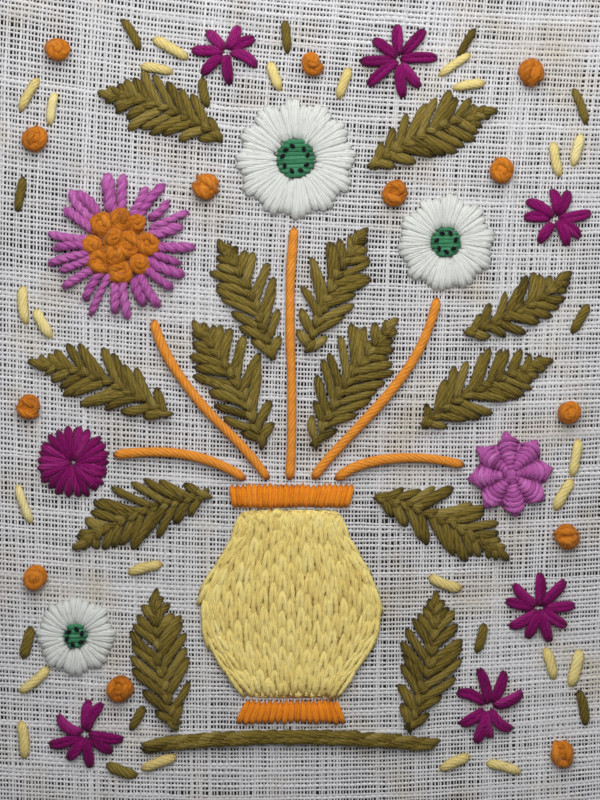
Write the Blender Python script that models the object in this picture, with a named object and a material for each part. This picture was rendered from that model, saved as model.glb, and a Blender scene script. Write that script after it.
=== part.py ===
"""Crewel embroidery panel: wool stitches standing on a cut length of plain-weave linen.

The panel lies face up. X runs across it, Y up the design and Z out of the cloth.
The origin is at the bottom centre of the panel's box. Lengths are in metres.
"""
import math
from collections import namedtuple

import bmesh
import bpy
import numpy as np

MM = 0.001

PANEL_WIDTH = 144 * MM
PANEL_LENGTH = 188 * MM
CLOTH_THICKNESS = 1.2 * MM
CLOTH_COLUMNS = 18
CLOTH_ROWS = 24
STITCH_GAP = 0.3 * MM
SHARP_EDGE = math.radians(50)

# Soft places where the cloth stands off the table, by centre, reach and height, in millimetres.
Rise = namedtuple("Rise", "x y reach_x reach_y height")
RISES = (
    Rise(-72, 94, 44, 40, 2.0),
    Rise(72, -94, 48, 42, 1.6),
    Rise(72, 18, 27, 46, 0.9),
    Rise(-72, -34, 24, 40, 0.8),
    Rise(24, 94, 44, 22, 0.9),
)

# Finishes: linear colour and roughness of the linen and of each wool.
Finish = namedtuple("Finish", "red green blue roughness")
FINISHES = {
    "linen": Finish(0.46, 0.46, 0.45, 0.95),
    "olive_wool": Finish(0.117, 0.084, 0.018, 0.92),
    "yellow_wool": Finish(0.65, 0.50, 0.155, 0.9),
    "orange_wool": Finish(0.66, 0.20, 0.02, 0.88),
    "magenta_wool": Finish(0.14, 0.010, 0.073, 0.9),
    "pink_wool": Finish(0.30, 0.07, 0.23, 0.9),
    "white_wool": Finish(0.62, 0.63, 0.59, 0.9),
    "green_wool": Finish(0.05, 0.15, 0.08, 0.9),
}

# Leaves of fly stitch, worked from base to tip. Places and widths in millimetres.
Leaf = namedtuple("Leaf", "name base tip width bend")
LEAVES = (
    Leaf("leaf_01", (3.4, -9.5), (21.0, 17.5), 13.5, 0.10),
    Leaf("leaf_02", (-8.0, -9.5), (-23.0, 17.0), 13.5, -0.10),
    Leaf("leaf_03", (1.8, 10.5), (14.5, 37.0), 12.5, 0.10),
    Leaf("leaf_04", (-6.2, 9.5), (-17.5, 34.5), 12.0, -0.10),
    Leaf("leaf_05", (26.5, -5.5), (54.5, 8.5), 12.5, 0.12),
    Leaf("leaf_06", (-28.5, -3.0), (-58.5, 8.5), 12.5, -0.12),
    Leaf("leaf_07", (16.5, -21.0), (45.0, -34.5), 12.5, 0.12),
    Leaf("leaf_08", (-20.0, -20.5), (-49.0, -32.0), 12.5, -0.12),
    Leaf("leaf_09", (23.5, -71.0), (29.5, -41.5), 12.5, -0.10),
    Leaf("leaf_10", (-27.0, -70.5), (-31.0, -41.0), 12.5, 0.08),
    Leaf("leaf_11", (15.5, 50.5), (42.5, 62.5), 12.0, 0.12),
    Leaf("leaf_12", (-17.0, 56.5), (-43.5, 66.5), 12.0, -0.12),
    Leaf("leaf_13", (36.5, 14.5), (58.5, 27.5), 10.0, -0.10),
)
LEAF_ARMS = 9
LEAF_ARM_SLANT = 1.1
LEAF_FIRST_SHARE = 0.03
LEAF_LAST_SHARE = 0.9
LEAF_BASE_WIDTH_SHARE = 0.35
LEAF_BELLY_SHIFT = 0.8
LEAF_TAPER_LENGTH = 0.55
LEAF_TAPER_POWER = 0.35
LEAF_EDGE_HEIGHT = 0.9 * MM
LEAF_ARM_HEIGHT = 1.5 * MM
LEAF_VEIN_HEIGHT = 2.0 * MM
LEAF_GROOVE = 0.4 * MM

# Stems and the ground line: four control points of a cubic curve, in millimetres.
Line = namedtuple("Line", "name points width finish")
LINES = (
    Line("stem_top", ((-2.2, -17), (-1, 0), (-3.6, 18), (-1.2, 37)), 2.2, "orange_wool"),
    Line("stem_left", ((-7, -17), (-12.5, -7.5), (-27.5, 1), (-31.5, 17)), 2.2, "orange_wool"),
    Line("stem_right", ((2.8, -17), (8.5, -7.5), (25.5, 2), (29.5, 21.8)), 2.2, "orange_wool"),
    Line("stem_low_left", ((-12, -17), (-17, -12.3), (-28, -9.8), (-40.2, -12)), 2.2, "orange_wool"),
    Line("stem_low_right", ((8, -17), (13, -12.3), (24, -11), (35.3, -14.2)), 2.2, "orange_wool"),
    Line("ground_line", ((-34, -74.6), (-10, -72), (8, -72), (30, -74.6)), 2.4, "olive_wool"),
)
LINE_STEP = 3.2 * MM
LINE_HEIGHT = 1.7 * MM
LINE_EDGE_HEIGHT = 0.6 * MM

# The urn: half widths up its height as fractions, then its rim and its foot.
URN_X = -2 * MM
URN_BOTTOM = -64 * MM
URN_TOP = -24 * MM
URN_STATIONS = (0, 0.12, 0.3, 0.5, 0.7, 0.85, 1)
URN_HALF_WIDTHS = tuple(half * MM for half in (9.5, 13.5, 18.6, 20, 16.8, 11.8, 11))
Panel = namedtuple("Panel", "name ridges rows finish height groove")
URN = Panel("urn", 8, 11, "yellow_wool", 1.8 * MM, 0.5 * MM)
Band = namedtuple("Band", "name bottom top bottom_half top_half ridges")
BANDS = (
    Band("urn_rim", -23.0, -18.5, 12.5, 13.5, 9),
    Band("urn_foot", -69.6, -65.2, 12.0, 10.0, 8),
)
BAND_ROWS = 3
BAND_HEIGHT = 1.7 * MM
BAND_GROOVE = 0.3 * MM

# Flowers drawn about a centre: a ring or disc with lobes, in millimetres. The radius falls
# by notch, as a share, from the middle of a lobe to the cleft, along a curve of power bulge.
Flower = namedtuple("Flower", "name x y radius hole lobes samples notch bulge crest groove turn finish")
FLOWERS = (
    Flower("daisy_top", -1, 52, 13, 4.6, 12, 4, 0.13, 2.0, 1.9, 0.45, 0.10, "white_wool"),
    Flower("daisy_right", 31.5, 34, 10.5, 3.6, 10, 4, 0.13, 2.0, 1.8, 0.45, 0.25, "white_wool"),
    Flower("daisy_low", -48.5, -51, 8.5, 3.0, 8, 4, 0.14, 2.0, 1.7, 0.45, 0.0, "white_wool"),
    Flower("blossom", -39, 33.5, 16.5, 8.2, 22, 2, 0.13, 1.0, 2.2, 0.5, 0.0, "pink_wool"),
    Flower("wheel", 45.5, -16, 9, 0, 8, 4, 0.16, 1.2, 2.1, 0.35, 0.15, "pink_wool"),
    Flower("rosette", -49, -13.5, 7.5, 0, 10, 4, 0.10, 2.0, 1.9, 0.35, 0.2, "magenta_wool"),
    Flower("star_1", 21, 73.5, 8.5, 0, 8, 4, 0.68, 1.3, 1.5, 0.5, 0.0, "magenta_wool"),
    Flower("star_2", -16, 75.5, 7.5, 0, 7, 4, 0.66, 1.3, 1.5, 0.5, 0.4, "magenta_wool"),
    Flower("star_3", 55, 39.5, 7.5, 0, 8, 4, 0.68, 1.3, 1.5, 0.5, 0.3, "magenta_wool"),
    Flower("star_4", 51.5, -44.5, 8.5, 0, 9, 4, 0.66, 1.3, 1.5, 0.5, 0.2, "magenta_wool"),
    Flower("star_5", 41, -66.5, 8.5, 0, 8, 4, 0.68, 1.3, 1.5, 0.5, 0.5, "magenta_wool"),
    Flower("star_6", -46.5, -72, 8.5, 0, 8, 4, 0.68, 1.3, 1.5, 0.5, 0.15, "magenta_wool"),
)
Ring = namedtuple("Ring", "reach height")
RING_PROFILE = (Ring(0, 0.75), Ring(0.4, 1), Ring(1, 0.5))
DISC_PROFILE = (Ring(0.3, 0.95), Ring(0.7, 0.95), Ring(1, 0.45))
DISC_CENTRE_HEIGHT = 0.8

# Centres worked in knots: a mound with one bump for each knot, in millimetres.
Mound = namedtuple("Mound", "name x y radius height inner_knots outer_knots knot_height finish")
MOUNDS = (
    Mound("daisy_top_centre", -1, 52, 4.2, 1.5, 0, 0, 0.0, "green_wool"),
    Mound("daisy_right_centre", 31.5, 34, 3.2, 1.4, 0, 0, 0.0, "green_wool"),
    Mound("daisy_low_centre", -48.5, -51, 2.6, 1.3, 0, 0, 0.0, "green_wool"),
    Mound("blossom_centre", -39, 33.5, 7.7, 1.3, 3, 8, 1.2, "orange_wool"),
)
MOUND_FALL = 0.5
MOUND_RINGS = (0.3, 0.52, 0.74, 1)
MOUND_SIDES = 32
PLAIN_MOUND_RINGS = (0.5, 1)
PLAIN_MOUND_SIDES = 16
INNER_KNOT_REACH = 0.3
OUTER_KNOT_REACH = 0.74
KNOT_BUMP_REACH = 0.3

# Single French knots: a low coil with a dimple, in millimetres.
KNOT_CENTRES = (
    (50, 70.5), (-52, 75.5), (43.5, 49.5), (-57, 56.5), (58, -3), (-58.5, -1.5), (57.5, -29.5),
    (-57, -38), (56.5, -76), (-38.9, -62.3), (2.5, 72.5), (-20.5, 46), (20.5, 44.8),
)
KNOT_SIDES = 10
KNOT_RADIUS = 2.6 * MM
KNOT_OVAL = 0.08
KNOT_TURN = 0.07
KnotRing = namedtuple("KnotRing", "reach height")
KNOT_PROFILE = (KnotRing(0.8, 0), KnotRing(1, 1.1 * MM), KnotRing(0.6, 2.3 * MM))
KNOT_DIMPLE_HEIGHT = 1.9 * MM


def remove_all_objects():
    """Empty the scene before the panel is built."""
    for item in list(bpy.data.objects):
        bpy.data.objects.remove(item, do_unlink=True)


def make_material(name):
    """A Principled material with the colour and roughness of one finish."""
    finish = FINISHES[name]
    material = bpy.data.materials.get(name) or bpy.data.materials.new(name)
    material.use_nodes = True
    shader = material.node_tree.nodes["Principled BSDF"]
    shader.inputs["Base Color"].default_value = (finish.red, finish.green, finish.blue, 1)
    shader.inputs["Roughness"].default_value = finish.roughness
    shader.inputs["Metallic"].default_value = 0
    return material


def add_solid(name, points, faces, finish):
    """Make one object from a closed set of faces, with its faces turned outwards."""
    mesh = bpy.data.meshes.new(name)
    mesh.from_pydata([tuple(map(float, point)) for point in points], [], faces)
    shape = bmesh.new()
    shape.from_mesh(mesh)
    bmesh.ops.recalc_face_normals(shape, faces=shape.faces)
    shape.to_mesh(mesh)
    shape.free()
    mesh.shade_smooth()
    mesh.set_sharp_from_angle(angle=SHARP_EDGE)
    mesh.materials.append(make_material(finish))
    panel_part = bpy.data.objects.new(name, mesh)
    bpy.context.scene.collection.objects.link(panel_part)


def underside(x, y):
    """Height of the cloth's underside: zero where it lies flat, soft rises at the edges."""
    height = np.zeros(np.broadcast(x, y).shape)
    for rise in RISES:
        across = (x - rise.x * MM) / (rise.reach_x * MM)
        along = (y - rise.y * MM) / (rise.reach_y * MM)
        distance = np.minimum(np.hypot(across, along), 1)
        height = height + rise.height * MM * np.cos(distance * math.pi / 2) ** 2
    return height


def stitch_floor(x, y):
    """Height at which stitches start: the cloth's face and a small clearance."""
    return underside(x, y) + CLOTH_THICKNESS + STITCH_GAP


def on_cloth(plan, height):
    """Points over a plan, at a height above the floor of the stitches."""
    floor = stitch_floor(plan[..., 0], plan[..., 1])
    return np.concatenate([plan, (floor + height)[..., None]], axis=-1)


def grid_faces(rows, columns, first=0, closed=False):
    """Quads of a grid of points that are numbered row by row, closed across if asked."""
    faces = []
    for row in range(rows - 1):
        for column in range(columns if closed else columns - 1):
            beside = (column + 1) % columns
            start = first + row * columns
            faces.append((start + column, start + beside, start + columns + beside, start + columns + column))
    return faces


def build_plate(name, top, bottom, finish):
    """A closed plate between two grids of the same size, with a wall round its border."""
    rows, columns = top.shape[:2]
    count = rows * columns
    faces = grid_faces(rows, columns) + grid_faces(rows, columns, count)
    border = list(range(columns))
    border += [row * columns + columns - 1 for row in range(1, rows)]
    border += [(rows - 1) * columns + column for column in range(columns - 2, -1, -1)]
    border += [row * columns for row in range(rows - 2, 0, -1)]
    for here, there in zip(border, border[1:] + border[:1]):
        faces.append((here, there, there + count, here + count))
    add_solid(name, np.concatenate([top.reshape(-1, 3), bottom.reshape(-1, 3)]), faces, finish)


def build_strip(name, start, rows, end, finish):
    """A closed strip: rows of top points between two end points, and a flat ladder below.

    rows holds an odd number of points in each row, from the left edge to the right one.
    """
    count, columns = rows.shape[:2]
    top = rows.reshape(-1, 3)
    edges = rows[:, (0, columns - 1)].reshape(-1, 3)
    ends = np.array([start, end])
    low = np.concatenate([edges, ends])
    low[:, 2] = stitch_floor(low[:, 0], low[:, 1])
    points = np.concatenate([top, ends, low])
    start_top = len(top)
    end_top = start_top + 1
    low_first = end_top + 1
    start_low = low_first + 2 * count
    end_low = start_low + 1
    faces = grid_faces(count, columns) + grid_faces(count, 2, low_first)
    last = (count - 1) * columns
    for column in range(columns - 1):
        faces.append((start_top, column, column + 1))
        faces.append((end_top, last + column, last + column + 1))
    faces.append((start_low, low_first, low_first + 1))
    faces.append((end_low, end_low - 3, end_low - 2))
    for side, column in ((0, 0), (1, columns - 1)):
        chain = [start_top] + [row * columns + column for row in range(count)] + [end_top]
        under = [start_low] + [low_first + 2 * row + side for row in range(count)] + [end_low]
        for step in range(count + 1):
            faces.append((chain[step], chain[step + 1], under[step + 1], under[step]))
    add_solid(name, points, faces, finish)


def build_disc(name, centre, rings, centre_height, finish):
    """A closed disc or ring: loops of top points outwards, and a floor under them.

    centre_height is None for a ring, whose first loop is then the wall of its hole.
    """
    count, sides = rings.shape[:2]
    outer = rings[-1].copy()
    outer[:, 2] = stitch_floor(outer[:, 0], outer[:, 1])
    points = [rings.reshape(-1, 3), outer]
    low_first = count * sides
    faces = grid_faces(count, sides, closed=True)
    faces += grid_faces(2, sides, low_first - sides, closed=True)
    if centre_height is None:
        inner = rings[0].copy()
        inner[:, 2] = stitch_floor(inner[:, 0], inner[:, 1])
        points.append(inner)
        faces += grid_faces(2, sides, low_first, closed=True)
        for side in range(sides):
            beside = (side + 1) % sides
            hole_first = low_first + sides
            faces.append((side, beside, hole_first + beside, hole_first + side))
    else:
        plan = np.array([centre])
        points.append(on_cloth(plan, np.array([centre_height])))
        points.append(on_cloth(plan, np.array([0.0])))
        middle = low_first + sides
        for side in range(sides):
            beside = (side + 1) % sides
            faces.append((middle, side, beside))
            faces.append((middle + 1, low_first + side, low_first + beside))
    add_solid(name, np.concatenate(points), faces, finish)


def build_cloth():
    """The cut length of linen: one sheet that lies flat but for its soft rises."""
    x = np.linspace(-PANEL_WIDTH / 2, PANEL_WIDTH / 2, CLOTH_COLUMNS + 1)
    y = np.linspace(-PANEL_LENGTH / 2, PANEL_LENGTH / 2, CLOTH_ROWS + 1)
    across, along = np.meshgrid(x, y)
    low = underside(across, along)
    bottom = np.stack([across, along, low], axis=-1)
    top = np.stack([across, along, low + CLOTH_THICKNESS], axis=-1)
    build_plate("linen_ground", top, bottom, "linen")


def leaf_half_width(share, width):
    """Half width of a leaf: full near its middle, and drawn in to a point at its tip."""
    belly = np.sin(math.pi * (share / LEAF_LAST_SHARE) ** LEAF_BELLY_SHIFT)
    body = LEAF_BASE_WIDTH_SHARE + (1 - LEAF_BASE_WIDTH_SHARE) * belly
    taper = np.clip((1 - share) / LEAF_TAPER_LENGTH, 0, 1) ** LEAF_TAPER_POWER
    return width / 2 * body * taper


def build_leaf(leaf):
    """A leaf of slanted arms: each row is a V that opens towards the tip, over a raised vein."""
    base = np.array(leaf.base) * MM
    tip = np.array(leaf.tip) * MM
    length = np.hypot(*(tip - base))
    normal = np.array([base[1] - tip[1], tip[0] - base[0]]) / length
    middle = (base + tip) / 2 + normal * leaf.bend * length
    share = np.linspace(LEAF_FIRST_SHARE, LEAF_LAST_SHARE, 2 * LEAF_ARMS + 1)[:, None]
    offset = np.array([-1, -0.5, 0, 0.5, 1])[None, :]
    half = leaf_half_width(share, leaf.width * MM)
    u = share + np.abs(offset) * LEAF_ARM_SLANT * half / length
    u = u[..., None]
    vein = (1 - u) ** 2 * base + 2 * u * (1 - u) * middle + u ** 2 * tip
    ahead = (1 - u) * (middle - base) + u * (tip - middle)
    ahead /= np.linalg.norm(ahead, axis=-1, keepdims=True)
    sideways = np.stack([-ahead[..., 1], ahead[..., 0]], axis=-1)
    plan = vein + sideways * (offset * half)[..., None]
    heights = np.interp(np.abs(offset), (0, 0.5, 1), (LEAF_VEIN_HEIGHT, LEAF_ARM_HEIGHT, LEAF_EDGE_HEIGHT))
    groove = LEAF_GROOVE * (np.arange(2 * LEAF_ARMS + 1) % 2)[:, None]
    rows = on_cloth(plan, heights - groove)
    ends = on_cloth(np.array([base, tip]), np.full(2, LEAF_EDGE_HEIGHT))
    build_strip(leaf.name, ends[0], rows, ends[1], "olive_wool")


def build_line(line):
    """A round-topped line of stitches along a cubic curve, drawn in at both ends."""
    control = np.array(line.points) * MM
    chord = np.linalg.norm(np.diff(control, axis=0), axis=1).sum()
    steps = max(4, round(chord / LINE_STEP))
    t = np.linspace(0, 1, steps + 1)[:, None]
    curve = (1 - t) ** 3 * control[0] + 3 * t * (1 - t) ** 2 * control[1]
    curve += 3 * t ** 2 * (1 - t) * control[2] + t ** 3 * control[3]
    ahead = np.gradient(curve, axis=0)
    ahead /= np.linalg.norm(ahead, axis=1, keepdims=True)
    sideways = np.stack([-ahead[:, 1], ahead[:, 0]], axis=1)
    offset = np.array([-1, 0, 1]) * line.width * MM / 2
    plan = curve[1:-1, None, :] + sideways[1:-1, None, :] * offset[None, :, None]
    heights = np.array([LINE_EDGE_HEIGHT, LINE_HEIGHT, LINE_EDGE_HEIGHT])
    rows = on_cloth(plan, np.broadcast_to(heights, plan.shape[:2]))
    ends = on_cloth(curve[[0, -1]], np.full(2, LINE_EDGE_HEIGHT))
    build_strip(line.name, ends[0], rows, ends[1], line.finish)


def build_ridged_panel(name, y, half, ridges, height, groove, finish):
    """A filled shape with upright ridges: rows at the heights y, each half as wide either way."""
    columns = np.linspace(-1, 1, 2 * ridges + 1)
    across = URN_X + half[:, None] * columns
    plan = np.stack([across, np.broadcast_to(y[:, None], across.shape)], axis=-1)
    ridge = np.arange(2 * ridges + 1) % 2
    tops = height - groove * (1 - ridge)
    relief = np.broadcast_to(tops, plan.shape[:2]).copy()
    relief[:, (0, -1)] -= groove
    relief[(0, -1), :] -= groove
    build_plate(name, on_cloth(plan, relief), on_cloth(plan, np.zeros(plan.shape[:2])), finish)


def build_urn():
    """The urn's body in columns of stitches, its satin rim and its satin foot."""
    share = np.linspace(0, 1, URN.rows)
    half = np.interp(share, URN_STATIONS, URN_HALF_WIDTHS)
    y = URN_BOTTOM + (URN_TOP - URN_BOTTOM) * share
    build_ridged_panel(URN.name, y, half, URN.ridges, URN.height, URN.groove, URN.finish)
    for band in BANDS:
        y = np.linspace(band.bottom, band.top, BAND_ROWS) * MM
        half = np.linspace(band.bottom_half, band.top_half, BAND_ROWS) * MM
        build_ridged_panel(band.name, y, half, band.ridges, BAND_HEIGHT, BAND_GROOVE, "orange_wool")


def build_flower(flower):
    """A flower in lobes: loops whose radius and height dip at the cleft between two lobes."""
    sides = flower.lobes * flower.samples
    phase = np.arange(sides) / flower.samples
    cleft = 2 * np.abs(phase - np.round(phase))
    rim = flower.radius * MM * (1 - flower.notch * cleft ** flower.bulge)
    angle = 2 * math.pi * (phase + flower.turn) / flower.lobes
    profile = RING_PROFILE if flower.hole else DISC_PROFILE
    reach = np.array([ring.reach for ring in profile])[:, None]
    share = np.array([ring.height for ring in profile])[:, None]
    hole = flower.hole * MM
    radius = hole + (rim - hole) * reach
    centre = np.array([flower.x, flower.y]) * MM
    plan = centre + np.stack([radius * np.cos(angle), radius * np.sin(angle)], axis=-1)
    height = share * (flower.crest - flower.groove * cleft) * MM
    middle = None if flower.hole else flower.crest * DISC_CENTRE_HEIGHT * MM
    build_disc(flower.name, centre, on_cloth(plan, height), middle, flower.finish)


def knot_places(mound):
    """Plan centres of a mound's knots: a few about its middle and a loop round them."""
    places = []
    for count, reach in ((mound.inner_knots, INNER_KNOT_REACH), (mound.outer_knots, OUTER_KNOT_REACH)):
        for index in range(count):
            angle = 2 * math.pi * index / count
            place = np.array([math.cos(angle), math.sin(angle)]) * reach * mound.radius
            places.append(place + np.array([mound.x, mound.y]))
    return places


def build_mound(mound):
    """A low mound, with a rounded bump at the place of each knot that it carries."""
    knots = knot_places(mound)
    rings = MOUND_RINGS if knots else PLAIN_MOUND_RINGS
    sides = MOUND_SIDES if knots else PLAIN_MOUND_SIDES
    angle = np.arange(sides) * 2 * math.pi / sides
    reach = np.array(rings)[:, None] * mound.radius
    centre = np.array([mound.x, mound.y])
    plan = centre + np.stack([reach * np.cos(angle), reach * np.sin(angle)], axis=-1)
    height = mound.height * (1 - MOUND_FALL * (reach / mound.radius) ** 4) * np.ones(sides)
    for knot in knots:
        distance = np.linalg.norm(plan - knot, axis=-1) / (KNOT_BUMP_REACH * mound.radius)
        height += mound.knot_height * np.cos(np.minimum(distance, 1) * math.pi / 2) ** 2
    rows = on_cloth(plan * MM, height * MM)
    build_disc(mound.name, centre * MM, rows, mound.height * MM, mound.finish)


def build_knots():
    """The single French knots, each a low coil that bulges at half height, each turned its own way."""
    for index, place in enumerate(KNOT_CENTRES):
        centre = np.array(place) * MM
        angle = (np.arange(KNOT_SIDES) / KNOT_SIDES + KNOT_TURN * index) * 2 * math.pi
        oval = 1 + KNOT_OVAL * np.cos(2 * angle + index)
        radius = np.array([ring.reach for ring in KNOT_PROFILE])[:, None] * KNOT_RADIUS * oval
        plan = centre + np.stack([radius * np.cos(angle), radius * np.sin(angle)], axis=-1)
        height = np.array([ring.height for ring in KNOT_PROFILE])[:, None] * np.ones(KNOT_SIDES)
        rings = on_cloth(plan, height)
        ends = on_cloth(np.array([centre, centre]), np.array([0, KNOT_DIMPLE_HEIGHT]))
        middle = len(KNOT_PROFILE) * KNOT_SIDES
        faces = grid_faces(len(KNOT_PROFILE), KNOT_SIDES, closed=True)
        for side in range(KNOT_SIDES):
            beside = (side + 1) % KNOT_SIDES
            top_loop = middle - KNOT_SIDES
            faces.append((middle, side, beside))
            faces.append((middle + 1, top_loop + side, top_loop + beside))
        name = "knot_{:02d}".format(index + 1)
        add_solid(name, np.concatenate([rings.reshape(-1, 3), ends]), faces, "orange_wool")


def main():
    """Build the cloth, then each worked shape on it."""
    remove_all_objects()
    build_cloth()
    build_urn()
    for line in LINES:
        build_line(line)
    for leaf in LEAVES:
        build_leaf(leaf)
    for flower in FLOWERS:
        build_flower(flower)
    for mound in MOUNDS:
        build_mound(mound)
    build_knots()


main()
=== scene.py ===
"""Looks of a crewel embroidery panel: woven linen threads and every wool stitch on them.

All sizes in the classes are millimetres, and the meshes are written in metres. X runs across
the panel, Y up the design and Z out of the cloth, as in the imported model.
"""
import logging
import math
from dataclasses import dataclass, field
from enum import Enum
from typing import ClassVar

import bpy
import numpy as np
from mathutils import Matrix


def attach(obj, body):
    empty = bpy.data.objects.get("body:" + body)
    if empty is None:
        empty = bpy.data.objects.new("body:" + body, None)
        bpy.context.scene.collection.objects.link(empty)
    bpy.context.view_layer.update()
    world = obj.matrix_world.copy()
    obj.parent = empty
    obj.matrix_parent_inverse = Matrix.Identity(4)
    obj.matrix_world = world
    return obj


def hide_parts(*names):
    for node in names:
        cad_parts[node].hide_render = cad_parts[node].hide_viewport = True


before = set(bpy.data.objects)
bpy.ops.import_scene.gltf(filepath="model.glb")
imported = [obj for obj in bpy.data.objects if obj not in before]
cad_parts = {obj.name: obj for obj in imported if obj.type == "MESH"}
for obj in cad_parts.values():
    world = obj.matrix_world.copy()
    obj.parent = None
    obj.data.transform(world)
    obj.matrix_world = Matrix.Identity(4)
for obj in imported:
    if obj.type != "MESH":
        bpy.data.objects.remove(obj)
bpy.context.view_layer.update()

Array = np.ndarray
Piece = bpy.types.Object
Material = bpy.types.Material
Socket = bpy.types.NodeSocket
Plan = tuple[float, float]
Triple = tuple[float, float, float]
Colour = Triple
Disc = Triple
MM = 0.001
TURN = 2 * math.pi
CURVE_SHARES = np.linspace(0, 1, 200)
PART_KEYS = ("points", "quads", "triangles", "yarn", "shade")
LOG = logging.getLogger("crewel_panel")


class Wool(Enum):
    """The wools on the panel, by the material slot of the record."""

    OLIVE = "olive_wool"
    YELLOW = "yellow_wool"
    ORANGE = "orange_wool"
    MAGENTA = "magenta_wool"
    PINK = "pink_wool"
    WHITE = "white_wool"
    GREEN = "green_wool"


def linear(rgb: Colour) -> tuple[float, float, float, float]:
    """Turn a display colour of 0 to 255 into a linear colour with full alpha."""
    share = np.array(rgb) / 255
    value = np.where(share <= 0.04045, share / 12.92, ((share + 0.055) / 1.055) ** 2.4)
    return (*value.tolist(), 1.0)


class Graph:
    """A new material, whose nodes are added and linked by short calls."""

    def __init__(self, name: str, roughness: float, specular: float) -> None:
        """Start the material with its shader."""
        self.material = bpy.data.materials.new(name)
        self.material.use_nodes = True
        self.tree = self.material.node_tree
        self.shader = self.tree.nodes["Principled BSDF"]
        self.feed(self.shader, {"Roughness": roughness, "Specular IOR Level": specular})

    def feed(self, node: bpy.types.Node, inputs: dict[str, object]) -> None:
        """Set a node's inputs to constants, or link them to the sockets given."""
        for key, value in inputs.items():
            if isinstance(value, Socket):
                self.tree.links.new(value, node.inputs[key])
            else:
                node.inputs[key].default_value = value

    def add(self, kind: str, inputs: dict[str, object], output: str | int = 0, **options: str) -> Socket:
        """Add a node.

        Args:
            kind: Its type, after the word that all shader nodes begin with.
            inputs: Constants and sockets for its inputs.
            output: The output wanted.
            options: Its own settings.

        Returns:
            The output wanted.
        """
        node = self.tree.nodes.new("ShaderNode" + kind)
        for key, value in options.items():
            setattr(node, key, value)
        self.feed(node, inputs)
        return node.outputs[output]

    def attribute(self, name: str, output: str) -> Socket:
        """Read an attribute of the mesh."""
        return self.add("Attribute", {}, output, attribute_name=name)

    def math(self, operation: str, *values: Socket | float) -> Socket:
        """Work out one number from others."""
        return self.add("Math", dict(enumerate(values)), operation=operation)

    def noise(self, scale: float, detail: float, stretch: Triple | None = None) -> Socket:
        """Noise over the yarn's stretched coordinates, or over the object's own with no stretch."""
        if stretch:
            place = self.add("Mapping", {"Vector": self.attribute("yarn", "Vector"), "Scale": stretch})
        else:
            place = self.add("TexCoord", {}, "Object")
        return self.add("TexNoise", {"Vector": place, "Scale": scale, "Detail": detail})

    def mix(self, inputs: dict[str, object], blend: str = "MIX") -> Socket:
        """Mix two colours."""
        return self.add("Mix", inputs, "Result", data_type="RGBA", blend_type=blend)

    def dress(self, colour: Socket, relief: Socket | None = None, strength: float = 0.0,
              depth: float = 0.0) -> Material:
        """Give the shader its colour and its bumps of a depth in millimetres."""
        self.feed(self.shader, {"Base Color": colour})
        if relief:
            bump = {"Height": relief, "Strength": strength, "Distance": depth * MM}
            self.feed(self.shader, {"Normal": self.add("Bump", bump)})
        return self.material


@dataclass(frozen=True)
class WoolFinish:
    """Crewel wool: a ramp from a deep colour, painted shade of its grooves, to a light colour, its painted
    lit crown, with painted dark lines of ply.
    """

    wool: Wool
    deep: Colour
    body: Colour
    light: Colour
    streak: float = 0.55
    shaded_groove: float = 0.34
    sheen: float = 0.12
    plies: int = 7
    line_start: float = 0.2
    cloud: float = 0.3
    grain: float = 0.28
    roughness: float = 0.85
    specular: float = 0.12

    def material(self) -> Material:
        """Build the material, which reads the yarn and shade attributes of a strand.

        The angle round a strand, times the number of plies, runs through a cosine whose crests are the dark
        lines between plies, painted shade in the grooves. Noise bends the lines and adds stretched fibres.
        """
        graph = Graph(self.wool.value, self.roughness, self.specular)
        graph.feed(graph.shader, {"Sheen Weight": self.sheen, "Sheen Roughness": 0.4})
        fibre = graph.noise(1.6, 5.0, (4.5, 4.5, 0.7))
        cloud = graph.noise(0.45, 2.0, (1.0, 1.0, 1.0))
        bend = graph.noise(1.0, 1.0, (1.6, 1.6, 0.5))
        fuzz = graph.noise(4200.0, 1.0)
        parts = graph.add("SeparateXYZ", {"Vector": graph.attribute("yarn", "Vector")}).node.outputs
        angle = graph.math("ARCTAN2", parts["Y"], parts["X"])
        phase = graph.math("MULTIPLY_ADD", bend, 5.0, graph.math("MULTIPLY", angle, self.plies))
        crest = {"Value": graph.math("COSINE", phase), "From Min": self.line_start, "From Max": 1.0}
        line = graph.add("MapRange", crest, interpolation_type="SMOOTHSTEP")
        shaded_groove = graph.math("MULTIPLY", line, graph.math("MULTIPLY_ADD", cloud, 1.6, -0.2))
        place = graph.attribute("shade", "Fac")
        for value, weight in ((fibre, self.streak), (cloud, self.cloud), (shaded_groove, -self.shaded_groove),
                              (fuzz, self.grain)):
            place = graph.math("MULTIPLY_ADD", value, weight, place)
        place = graph.math("SUBTRACT", place, (self.streak + self.cloud + self.grain) / 2)
        # The ramp's deep end is painted shade, its light end a painted lit crown.
        colour = graph.add("ValToRGB", {"Fac": place})
        stops = colour.node.color_ramp.elements
        stops[0].color = linear(self.deep)
        stops[1].color = linear(self.light)
        stops.new(0.5).color = linear(self.body)
        relief = graph.math("MULTIPLY_ADD", fuzz, 0.35, graph.math("MULTIPLY", shaded_groove, -0.8))
        return graph.dress(colour, graph.math("MULTIPLY_ADD", fibre, 0.6, relief), 0.8, 0.2)


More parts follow.
